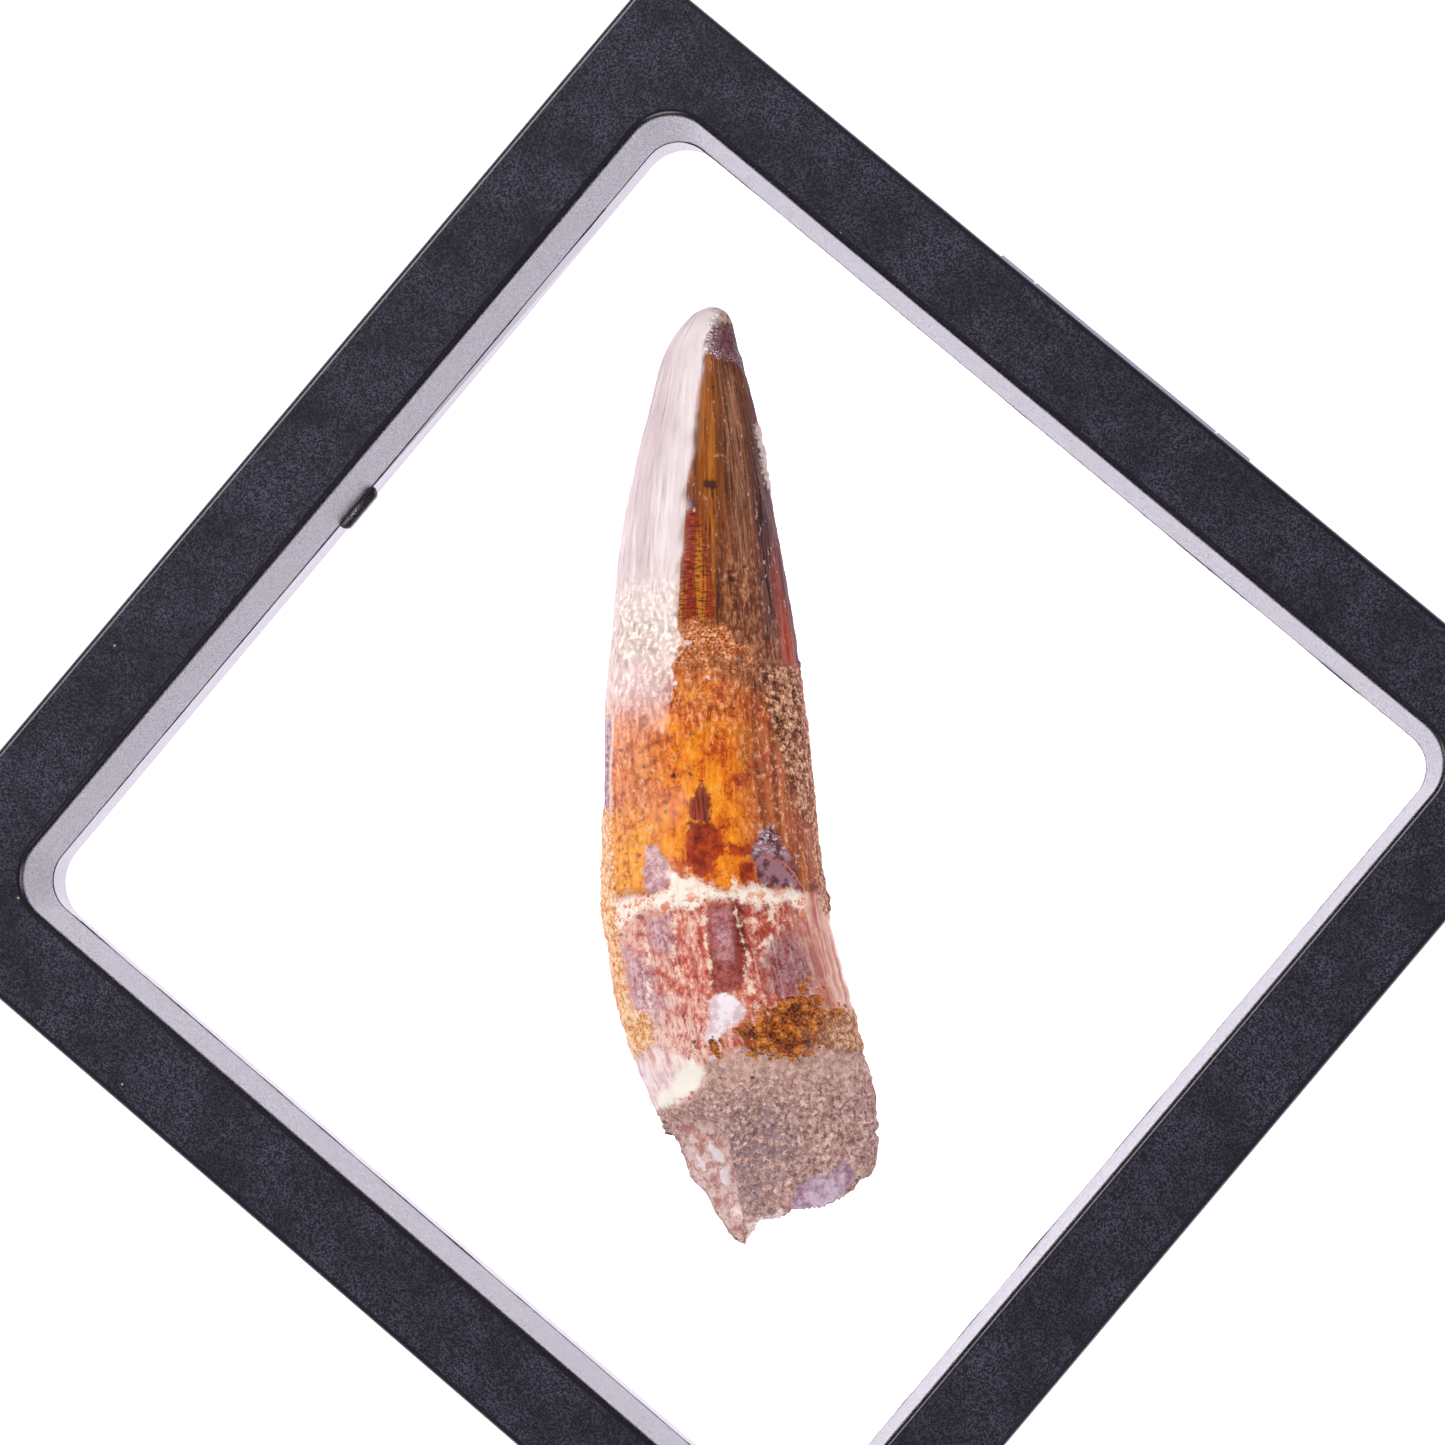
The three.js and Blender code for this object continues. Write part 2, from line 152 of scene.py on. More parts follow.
SCAB_OUTLINE = [
    (-3.8, 56.2), (-2.2, 56.4), (-0.2, 55.9), (1.2, 55.0), (2.2, 53.7), (3.4, 52.5), (3.3, 50.8), (2.2, 49.4),
    (0.6, 48.2), (-2.2, 47.8), (-3.8, 49.0), (-4.6, 51.6), (-3.9, 53.7),
]
RIGHT_CRUST_OUTLINE = [
    (3.4, 51.9), (6.2, 52.3), (9, 52.4), (9, 44), (10, 34), (11, 29), (8.5, 29.5), (8.1, 32.0), (7.5, 37.0),
    (6.5, 39.2), (5.8, 41.7), (5.2, 43.6), (4.3, 46.4), (3.9, 49.7),
]
LEFT_CRUST_OUTLINE = [
    (-14, 40), (-10.9, 39.8), (-10.7, 36), (-10.4, 31.4), (-10.2, 27.3), (-9.8, 24.2), (-9.2, 21.4), (-7.5, 20.8),
    (-7.3, 18.3), (-8.4, 17.5), (-9.4, 17.2), (-14, 16),
]
SAND_OUTLINE = [(7.2, 21.3), (8.9, 21.0), (10.5, 20.8), (14, 20.6), (14, 16.8), (10.6, 16.9), (8.9, 17.4), (7.1, 17.5)]
RUST_OUTLINE = [
    (0.7, 19.3), (2.0, 20.1), (3.7, 20.8), (5.0, 21.8), (6.3, 22.2), (7.8, 21.4), (8.2, 19.4), (6.9, 17.2),
    (5.3, 16.7), (4.0, 17.2), (2.0, 17.0), (1.1, 17.8),
]
CHIP_OUTLINE = [
    (-2.0, 21.9), (-1.5, 22.5), (-0.3, 22.7), (0.6, 22.1), (1.5, 20.9), (1.0, 20.1), (-0.1, 19.6), (-1.1, 18.7),
    (-2.1, 18.1), (-2.6, 18.8), (-1.8, 19.9), (-1.9, 21.1),
]
WEDGE_OUTLINE = [
    (-2.4, 41.3), (-1.9, 42.0), (-1.3, 40.2), (-1.2, 38.7), (-1.4, 37.9), (-2.2, 38.1), (-3.1, 38.4), (-3.2, 39.5), (-2.7, 40.7),
]
PATCH_OUTLINES = [
    [(-3.3, 38.1), (-1.2, 38.2), (-0.2, 36.7), (0.0, 35.4), (-1.3, 34.4), (-2.6, 34.0), (-3.6, 34.6), (-3.5, 36.6)],
    [(-1.0, 34.3), (-1.9, 34.5), (-2.9, 34.2), (-3.1, 33.5), (-2.3, 33.0), (-1.3, 33.6)],
    [(1.2, 34.2), (2.5, 34.5), (2.7, 33.6), (2.3, 32.5), (1.7, 32.0), (1.2, 32.6)],
    [(0.3, 36.2), (1.3, 35.9), (2.8, 35.7), (2.5, 35.0), (1.0, 35.0), (0.3, 35.0)],
]
LEFT_FLAKE_OUTLINE = [
    (-7.3, 36.2), (-6.4, 36.3), (-6.1, 35.4), (-5.4, 34.9), (-5.1, 34.1), (-5.0, 33.3), (-5.5, 32.4), (-7.0, 31.7),
    (-7.6, 32.5), (-7.7, 34.0), (-7.5, 35.1),
]
RIGHT_FLAKE_OUTLINE = [
    (2.2, 34.8), (2.4, 35.7), (3.2, 37.1), (4.0, 37.6), (4.5, 37.3), (4.9, 36.3), (5.4, 35.4), (6.2, 33.8),
    (6.9, 31.8), (6.0, 32.1), (4.5, 32.0), (3.3, 32.3), (2.7, 32.9), (2.7, 34.2),
]
CREAM_OUTLINE = [
    (-13, 31.4), (-10.2, 31.3), (-9.0, 31.7), (-7.8, 31.5), (-7.0, 31.7), (-5.5, 32.2), (-4.8, 33.5), (-3.5, 33.4),
    (-2.3, 32.7), (-0.5, 31.9), (0.2, 31.7), (0.5, 32.2), (1.6, 32.0), (2.6, 32.3), (3.6, 32.1), (4.6, 31.3),
    (5.4, 31.9), (6.5, 31.6), (7.1, 31.0), (6.8, 29.6), (6.1, 29.9), (5.0, 30.8), (4.1, 29.6), (3.5, 30.6),
    (2.8, 29.8), (1.9, 30.9), (1.2, 30.2), (0.7, 31.0), (-1.8, 31.1), (-2.9, 29.8), (-4.2, 30.4), (-5.5, 30.1),
    (-7.3, 30.5), (-9.2, 29.2), (-10.3, 28.0), (-13, 28),
]
FACET_CREAM_OUTLINE = [
    (-4.2, 16.7), (-2.2, 16.4), (-2.6, 15.2), (-3.9, 13.3), (-6.3, 11.8), (-8.2, 12.2), (-6.9, 13.6), (-5.5, 15.1),
]
FACET_OUTLINE = [(-8.6, 17.2), (-7.1, 18.0), (-4.7, 17.1), (-2.6, 16.6), (-2.7, 15.4), (-3.9, 13.6), (-5.6, 12.6), (-7.6, 12.1), (-9.4, 14)]
MATRIX_OUTLINE = [
    (-14, 12.0), (-7.8, 12.1), (-5.6, 12.5), (-3.9, 13.2), (-2.9, 14.8), (-2.4, 16.5), (0.0, 17.5), (1.3, 17.8),
    (2.7, 17.2), (5.3, 16.8), (7.6, 17.3), (9.7, 17.2), (11.4, 17.4), (16, 17.2), (16, -8), (-14, -8),
]
LEDGE_OUTLINE = [(-7.4, 11.4), (-3.0, 11.4), (-1.0, 10.0), (-0.6, 7.6), (0.0, 4.0), (0.6, -3), (-9, -3), (-9, 11)]
PURPLE_BREAK_OUTLINE = [(5.5, 4.9), (7.0, 5.8), (8.7, 5.9), (10.0, 7.2), (10.7, 6.3), (11.6, 5.3), (12, 1), (4, 0), (5.0, 3.4)]
VEINS = [
    [(-2.2, 31.1), (-2.2, 28.5), (-2.0, 26.7), (-1.8, 25.2), (-1.7, 23.8), (-2.2, 22.1), (-2.3, 21.0)],
    [(0.6, 33.4), (0.8, 31.0), (0.8, 29.6), (1.4, 27.0), (1.8, 25.9), (1.6, 24.4), (1.8, 23.3), (2.5, 20.6)],
    [(1.8, 25.9), (2.8, 26.6), (3.7, 27.6), (4.0, 28.8), (3.9, 29.9)],
    [(-4.9, 30.1), (-4.8, 27.7), (-5.1, 26.0), (-4.7, 24.7)],
    [(-7.7, 29.0), (-7.6, 26.0), (-7.5, 22.2), (-7.3, 19.4)],
]
COLUMN_OUTLINE = [
    (-1.8, 30.7), (0.7, 30.8), (1.0, 29.2), (1.5, 25.5), (1.3, 23.3), (-0.3, 22.6), (-1.2, 22.5), (-1.9, 23.4),
    (-1.7, 25.2), (-2.0, 28.3),
]
CLEFT_OUTLINE = [(0.7, 31.2), (1.5, 30.0), (1.9, 27.2), (1.5, 24.4), (1.0, 23.6), (0.6, 25.6), (0.6, 28.4)]
PLUM_OUTLINE = [
    (4.0, 27.5), (6.5, 28.1), (7.5, 26.3), (8.1, 24.6), (7.9, 23.1), (6.3, 22.2), (4.6, 21.8), (3.3, 23.2), (2.9, 25.0),
]
LAVENDER_OUTLINES = [
    [(5.4, 25.2), (7.0, 25.6), (7.9, 24.0), (7.6, 22.4), (6.2, 22.6)],
    [(-7.4, 29.9), (-5.3, 30.1), (-4.6, 28.4), (-5.5, 26.2), (-7.1, 27.2)],
    [(-9.9, 26.8), (-7.6, 26.3), (-6.4, 22.1), (-7.5, 19.0), (-9.2, 21.3)],
    [(-9.4, 17.2), (-7.2, 17.6), (-7.3, 13.2), (-9, 12.4)],
]
CURL = [(2.2, 34.6), (3.9, 34.7), (5.1, 34.3), (6.0, 33.3), (6.9, 31.8), (7.1, 31.0)]
DARK_STONE_OUTLINE = [(-3.0, 11.2), (-0.2, 13.0), (3.5, 13.3), (6.1, 11.0), (5.9, 5.6), (2.2, 2.6), (-0.6, 2.2), (-1.8, 7.6)]
SHARD_OUTLINES = [
    [(-3.3, 9.4), (-1.7, 8.2), (-1.5, 7.4), (-2.6, 7.4)],
    [(-2.1, 6.7), (-1.1, 7.0), (-1.1, 5.2), (-2.3, 5.6)],
    [(-4.9, 8.0), (-3.9, 7.6), (-3.2, 6.2), (-4.2, 6.7)],
]
RIGHT_CHIPS_MM = (68.8, 74.8)
DARK_SPOTS = [
    (-0.8, 69.1, 0.4), (-0.3, 69.0, 0.38), (-2.3, 67.3, 0.35), (1.0, 60.9, 0.28), (1.2, 60.3, 0.28), (-0.1, 78.1, 0.12),
    (-1.0, 65.0, 0.12), (2.4, 61.3, 0.1), (0.5, 59.8, 0.2), (-4.5, 44.0, 0.15), (-4.5, 42.4, 0.24), (-5.5, 40.1, 0.3),
    (-5.4, 39.2, 0.18), (-6.7, 42.8, 0.16), (-3.0, 42.6, 0.15), (-2.1, 41.9, 0.15), (-7.4, 43.4, 0.14), (3.4, 40.6, 0.18),
    (-9.4, 45.0, 0.12), (3.0, 42.5, 0.12), (1.8, 14.9, 0.18), (4.1, 15.5, 0.12),
    (-1.3, 15.0, 0.12),
]
WHITE_SPOTS = [
    (-1.8, 16.6, 0.4), (1.0, 18.7, 0.25), (2.1, 18.5, 0.25), (1.2, 20.7, 0.2), (-2.9, 54.4, 0.3), (-4.2, 50.8, 0.35),
    (-1.2, 51.3, 0.15), (-2.0, 66.7, 0.12),
]

RUST_SPOTS = [(6.7, 22.7, 0.2), (7.9, 22.0, 0.3), (9.4, 20.6, 0.3), (-3.4, 17.9, 0.1), (-1.7, 17.8, 0.2), (-1.1, 16.9, 0.1)]

# The camera, from the frame's edges in the photograph
IMAGE_PIXELS = 1445
FOCAL_PIXELS = 4958.0
SENSOR_MM = 36.0
CAMERA_MM = (32.5, 8.9, 445.1)
AIM_MM = (-5.96, 6.56)
ROLL = math.radians(40.16)

# The light: a lit white sheet below, soft boxes above. Each box: its name, middle and size in mm, how bright
# its face looks, and whether it is tilted to face the frame
FLOOR_GLOW = (2.16, 2.0, 2.3)
FLOOR_SIZE_M = 3.0
SURROUND = 0.1
BACKDROP = 1.0
SOFTBOXES = [
    ("key", (-550, 242, 700), (304, 875), 7.4, False),
    ("low", (560, -560, 700), (620, 620), 4.2, True),
    ("right", (780, 700, 560), (600, 600), 3.9, True),
    ("left", (-700, -760, 600), (560, 560), 3.7, True),
    ("top", (-860, 860, 640), (620, 620), 3.9, True),
]


def colour(red, green, blue):
    """A colour as it is seen on a screen, 0 to 255, for a node."""
    def linear(level):
        share = level / 255
        return share / 12.92 if share <= 0.04045 else ((share + 0.055) / 1.055) ** 2.4
    return (linear(red), linear(green), linear(blue), 1.0)


def metres(points_mm):
    return np.asarray(points_mm, dtype=float) * MM


def make_mesh(name, points_mm, faces, looks, smooth_angle=math.radians(35)):
    mesh = bpy.data.meshes.new(name)
    mesh.from_pydata(metres(points_mm).tolist(), [], faces)
    mesh.validate()
    for look in looks:
        mesh.materials.append(look)
    mesh.shade_smooth()
    mesh.set_sharp_from_angle(angle=smooth_angle)
    piece = bpy.data.objects.new(name, mesh)
    bpy.context.scene.collection.objects.link(piece)
    return piece


def shade_of(value):
    return colour(*value) if isinstance(value, tuple) and len(value) == 3 else value


class Look:
    """One material, and short ways to add its nodes. Shades are (red, green, blue) as seen on a screen."""

    def __init__(self, name):
        self.material = bpy.data.materials.new(name)
        self.material.use_nodes = True
        self.tree = self.material.node_tree
        self.tree.nodes.clear()
        self.output = self.tree.nodes.new("ShaderNodeOutputMaterial")

    def add(self, kind, **settings):
        node = self.tree.nodes.new(kind)
        for key, value in settings.items():
            setattr(node, key, value)
        return node

    def put(self, socket, value):
        if isinstance(value, bpy.types.NodeSocket):
            self.tree.links.new(value, socket)
        else:
            socket.default_value = value

    def attribute(self, name, output="Fac"):
        return self.add("ShaderNodeAttribute", attribute_name=name).outputs[output]

    def place(self):
        """Where the point is on its piece, in millimetres."""
        coordinate = self.add("ShaderNodeTexCoord").outputs["Object"]
        scale = self.add("ShaderNodeVectorMath", operation="SCALE")
        self.put(scale.inputs[0], coordinate)
        self.put(scale.inputs["Scale"], 1 / MM)
        return scale.outputs[0]

    def shifted(self, vector, shift):
        node = self.add("ShaderNodeVectorMath", operation="ADD")
        self.put(node.inputs[0], vector)
        self.put(node.inputs[1], (shift, shift * 0.7, shift * 1.3))
        return node.outputs[0]

    def noise(self, vector, size, detail=2.0, roughness=0.5, distortion=0.0):
        node = self.add("ShaderNodeTexNoise")
        self.put(node.inputs["Vector"], vector)
        self.put(node.inputs["Scale"], 1 / size)
        self.put(node.inputs["Detail"], detail)
        self.put(node.inputs["Roughness"], roughness)
        self.put(node.inputs["Distortion"], distortion)
        return node.outputs["Fac"]

    def cells(self, vector, size, output="Distance", randomness=1.0):
        node = self.add("ShaderNodeTexVoronoi")
        self.put(node.inputs["Vector"], vector)
        self.put(node.inputs["Scale"], 1 / size)
        self.put(node.inputs["Randomness"], randomness)
        return node.outputs[output]

    def math(self, operation, first, second=0.0, third=0.0):
        node = self.add("ShaderNodeMath", operation=operation)
        for socket, value in zip(node.inputs, (first, second, third)):
            self.put(socket, value)
        return node.outputs[0]

    def span(self, value, low, high, to_low=0.0, to_high=1.0):
        node = self.add("ShaderNodeMapRange", interpolation_type="SMOOTHSTEP")
        for key, number in (("From Min", low), ("From Max", high), ("To Min", to_low), ("To Max", to_high)):
            self.put(node.inputs[key], number)
        self.put(node.inputs["Value"], value)
        return node.outputs["Result"]

    def mix(self, share, first, second, kind="MIX"):
        node = self.add("ShaderNodeMix", data_type="RGBA", blend_type=kind)
        self.put(node.inputs[0], share)
        self.put(node.inputs[6], shade_of(first))
        self.put(node.inputs[7], shade_of(second))
        return node.outputs[2]

    def blend(self, value, low, high, first, second):
        """One shade where the value is low, another where it is high."""
        return self.mix(self.span(value, low, high), first, second)

    def ramp(self, value, stops):
        node = self.add("ShaderNodeValToRGB")
        elements = node.color_ramp.elements
        while len(elements) < len(stops):
            elements.new(0.5)
        for element, (place, shade) in zip(elements, stops):
            element.position = place
            element.color = shade_of(shade)
        self.put(node.inputs["Fac"], value)
        return node.outputs["Color"]

    def warped(self, vector, size, reach):
        """The place pushed about by a noise, so that cells come out irregular."""
        node = self.add("ShaderNodeTexNoise")
        self.put(node.inputs["Vector"], vector)
        self.put(node.inputs["Scale"], 1 / size)
        push = self.add("ShaderNodeVectorMath", operation="MULTIPLY_ADD")
        self.put(push.inputs[0], node.outputs["Color"])
        self.put(push.inputs[1], (reach, reach, reach))
        self.put(push.inputs[2], vector)
        return push.outputs[0]

    def times(self, *values):
        total = values[0]
        for value in values[1:]:
            total = self.math("MULTIPLY", total, value)
        return total

    def over(self, base, shade, *shares):
        return self.mix(self.times(*shares), base, shade)

    def area(self, name, jag, reach, soft):
        """1 inside a marked area and 0 outside, its edge made jagged by a noise. Reach and soft are in mm."""
        edge = self.math("MULTIPLY_ADD", self.math("SUBTRACT", jag, 0.5), reach, self.attribute(name))
        return self.span(edge, -soft, soft)

    def bump(self, height, depth_mm, normal=None):
        node = self.add("ShaderNodeBump")
        self.put(node.inputs["Height"], height)
        self.put(node.inputs["Distance"], depth_mm * MM)
        self.put(node.inputs["Strength"], 1.0)
        if normal is not None:
            self.put(node.inputs["Normal"], normal)
        return node.outputs["Normal"]

    def shade(self, base, roughness, normal=None, **sockets):
        shader = self.add("ShaderNodeBsdfPrincipled")
        self.put(shader.inputs["Base Color"], shade_of(base))
        self.put(shader.inputs["Roughness"], roughness)
        if normal is not None:
            self.put(shader.inputs["Normal"], normal)
        for key, value in sockets.items():
            self.put(shader.inputs[key.replace("_", " ")], value)
        self.tree.links.new(shader.outputs[0], self.output.inputs["Surface"])
        return self.material


def grained_plastic():
    """Black plastic with a fine leathery grain, a few specks of dust and faint rubbed marks. The grain's crests carry a
    painted highlight.
    """
    look = Look("grained_plastic")
    place = look.place()
    grain = look.noise(place, 0.17, detail=2, roughness=0.6, distortion=0.3)
    cloud = look.noise(place, 6, detail=5, roughness=0.65)
    black = look.mix(cloud, (15, 13, 22), (24, 22, 33))
    # The lighter shade laid on the grain's crests in worn is a painted highlight.
    crest = look.blend(cloud, 0.3, 0.7, (46, 43, 58), (80, 77, 95))
    worn = look.over(black, crest, look.span(grain, 0.43, 0.63), 0.85)
    rubbed = look.span(look.noise(look.shifted(place, 40), 2.2, detail=5, roughness=0.8), 0.60, 0.74)
    dusty = look.over(worn, (150, 146, 165), rubbed, 0.1)
    dust = look.span(look.cells(look.shifted(place, 17), 6.5), 0.010, 0.022, 1, 0)
    base = look.over(dusty, (196, 166, 138), dust, 0.85)
    return look.shade(base, 0.55, look.bump(grain, 0.03), Specular_IOR_Level=0.2)


def smooth_plastic():
    """The same plastic where the mould was smooth: the window walls, their lips and the lug."""
    look = Look("smooth_plastic")
    place = look.place()
    fine = look.noise(place, 0.2, detail=2)
    cloud = look.noise(place, 9, detail=2)
    base = look.mix(cloud, (18, 16, 26), (26, 23, 35))
    return look.shade(base, look.span(fine, 0.3, 0.7, 0.22, 0.30), look.bump(fine, 0.002), IOR=1.6)


def hinge_plastic():
    """The polished plastic of the hinge's barrel and ears. Its lavender-grey, much lighter than the black frame, is a
    painted reflection.
    """
    look = Look("hinge_plastic")
    place = look.place()
    # The light lavender-grey base colour is a painted reflection.
    base = look.mix(look.noise(place, 3, detail=2), (96, 86, 112), (124, 112, 142))
    return look.shade(base, look.span(look.noise(place, 0.4), 0.3, 0.7, 0.1, 0.16), IOR=1.6)


def film_look():
    """Clear film: each face mirrors a little of the light, more at a glance, and lets the rest through."""
    look = Look("clear_film")
    weight = look.add("ShaderNodeLayerWeight")
    look.put(weight.inputs["Blend"], 0.5)
    glance = look.math("POWER", weight.outputs["Facing"], 5.0)
    mirrored = look.math("MULTIPLY_ADD", glance, 1 - FILM_MIRROR, FILM_MIRROR)
    haze = look.span(look.noise(look.place(), 4, detail=2), 0.35, 0.7, 0.19, 0.23)
    return look.shade((250, 249, 253), haze, Metallic=1.0, Alpha=mirrored)


def film_edge_look():
    """The dark cut edge of the films in the joint between the halves."""
    look = Look("film_edge")
    place = look.place()
    base = look.mix(look.noise(place, 0.8, detail=3), (24, 18, 34), (52, 30, 44))
    return look.shade(base, 0.6, look.bump(look.noise(place, 0.3), 0.02))


class ToothLook(Look):
    """The tooth's material, one zone laid over the last. It keeps the noises that the zones share."""

    def __init__(self, name):
        super().__init__(name)
        self.spot = self.attribute("place", "Vector")
        self.fibre = self.attribute("fibre", "Vector")
        self.height = self.attribute("height")
        self.across = self.attribute("across")
        self.lump = self.attribute("lump")
        self.fine = self.noise(self.spot, 0.17, detail=2)
        self.grain = self.noise(self.shifted(self.spot, 3), 0.42, detail=4, roughness=0.68)
        self.blotch = self.noise(self.shifted(self.spot, 11), 2.4, detail=4, roughness=0.6)
        self.mottle = self.noise(self.shifted(self.spot, 71), 1.1, detail=5, roughness=0.72)
        self.cloud = self.noise(self.shifted(self.spot, 31), 6, detail=2)
        self.streak = self.noise(self.fibre, 0.85, detail=4, roughness=0.62)
        self.hair = self.noise(self.shifted(self.fibre, 5), 0.24, detail=3, roughness=0.7)
        self.scuff = self.noise(self.stretched(1.0, 0.45), 0.4, detail=4, roughness=0.72)
        loose = self.warped(self.spot, 0.7, 0.5)
        self.crumb = self.cells(loose, 0.36)
        self.tone = self.cells(loose, 0.36, "Color")
        self.pebble = self.cells(loose, 0.52)
        self.jag = self.math("ADD", self.grain, self.math("MULTIPLY_ADD", self.hair, 0.6, -0.3))

    def stretched(self, across, along):
        """The place with the tooth's width and length scaled, so that a noise comes out as bars."""
        node = self.add("ShaderNodeVectorMath", operation="MULTIPLY")
        self.put(node.inputs[0], self.spot)
        self.put(node.inputs[1], (across, along, across))
        return node.outputs[0]

    def zone(self, name, reach=1.2, soft=0.25, jag=None):
        return self.area(name, self.jag if jag is None else jag, reach, soft)


def enamel(look):
    """The crown: amber streaks lengthways, brown to the right, purple and red bands."""
    base = look.ramp(look.streak, [
        (0.30, (70, 28, 6)), (0.41, (112, 52, 8)), (0.50, (146, 74, 10)), (0.60, (172, 92, 12)), (0.74, (200, 122, 34)),
    ])
    brown = look.ramp(look.streak, [
        (0.30, (50, 20, 8)), (0.44, (88, 44, 20)), (0.56, (120, 64, 34)), (0.72, (166, 110, 76)),
    ])
    base = look.over(base, brown, look.span(look.across, 0.24, 0.48))
    low = look.span(look.height, 68, 60)
    grown = look.blend(look.scuff, 0.42, 0.66, (112, 48, 26), (206, 142, 102))
    base = look.over(base, grown, look.span(look.across, 0.12, 0.42), low, 0.75)
    rim = look.blend(look.streak, 0.4, 0.62, (84, 12, 2), (178, 58, 10))
    base = look.over(base, rim, look.span(look.across, 0.80, 0.93), look.span(look.height, 68, 63))
    base = look.over(base, (54, 20, 6), look.span(look.hair, 0.47, 0.35), 0.85)
    base = look.over(base, (214, 138, 56), look.span(look.hair, 0.60, 0.72), 0.4)
    base = look.over(base, (62, 18, 10), look.span(look.grain, 0.39, 0.31), look.span(look.mottle, 0.52, 0.40), 0.9)
    pink = look.blend(look.hair, 0.40, 0.62, (100, 54, 28), (186, 130, 98))
    base = look.over(base, pink, look.zone("pink", 1.8, 0.4), 0.7)
    purple = look.blend(look.hair, 0.40, 0.64, (36, 10, 14), (122, 72, 64))
    purple = look.over(purple, (226, 200, 190), look.span(look.scuff, 0.58, 0.68), 0.7)
    base = look.over(base, purple, look.zone("purple", 2.0, 0.5), 0.92)
    scuffs = look.span(look.scuff, 0.58, 0.69)
    base = look.over(base, (224, 182, 156), scuffs, look.span(look.blotch, 0.44, 0.56), 0.75)
    bars = look.blend(look.streak, 0.52, 0.60, (156, 46, 8), (196, 122, 24))
    rung = look.noise(look.stretched(0.45, 1.7), 0.3, detail=3, roughness=0.6)
    beads = look.over(bars, (76, 18, 4), look.span(rung, 0.50, 0.42), 0.85)
    beads = look.over(beads, (224, 140, 66), look.span(rung, 0.60, 0.68), look.span(look.hair, 0.45, 0.55), 0.8)
    base = look.over(base, beads, look.zone("beads", 1.4, 0.4), 0.95)
    seam = look.times(look.span(look.attribute("pale"), -0.5, -0.15), look.span(look.grain, 0.42, 0.54))
    base = look.over(base, (116, 44, 18), seam, 0.6)
    return look.over(base, (226, 206, 194), look.zone("chips", 1.2, 0.15, look.grain), 0.9)


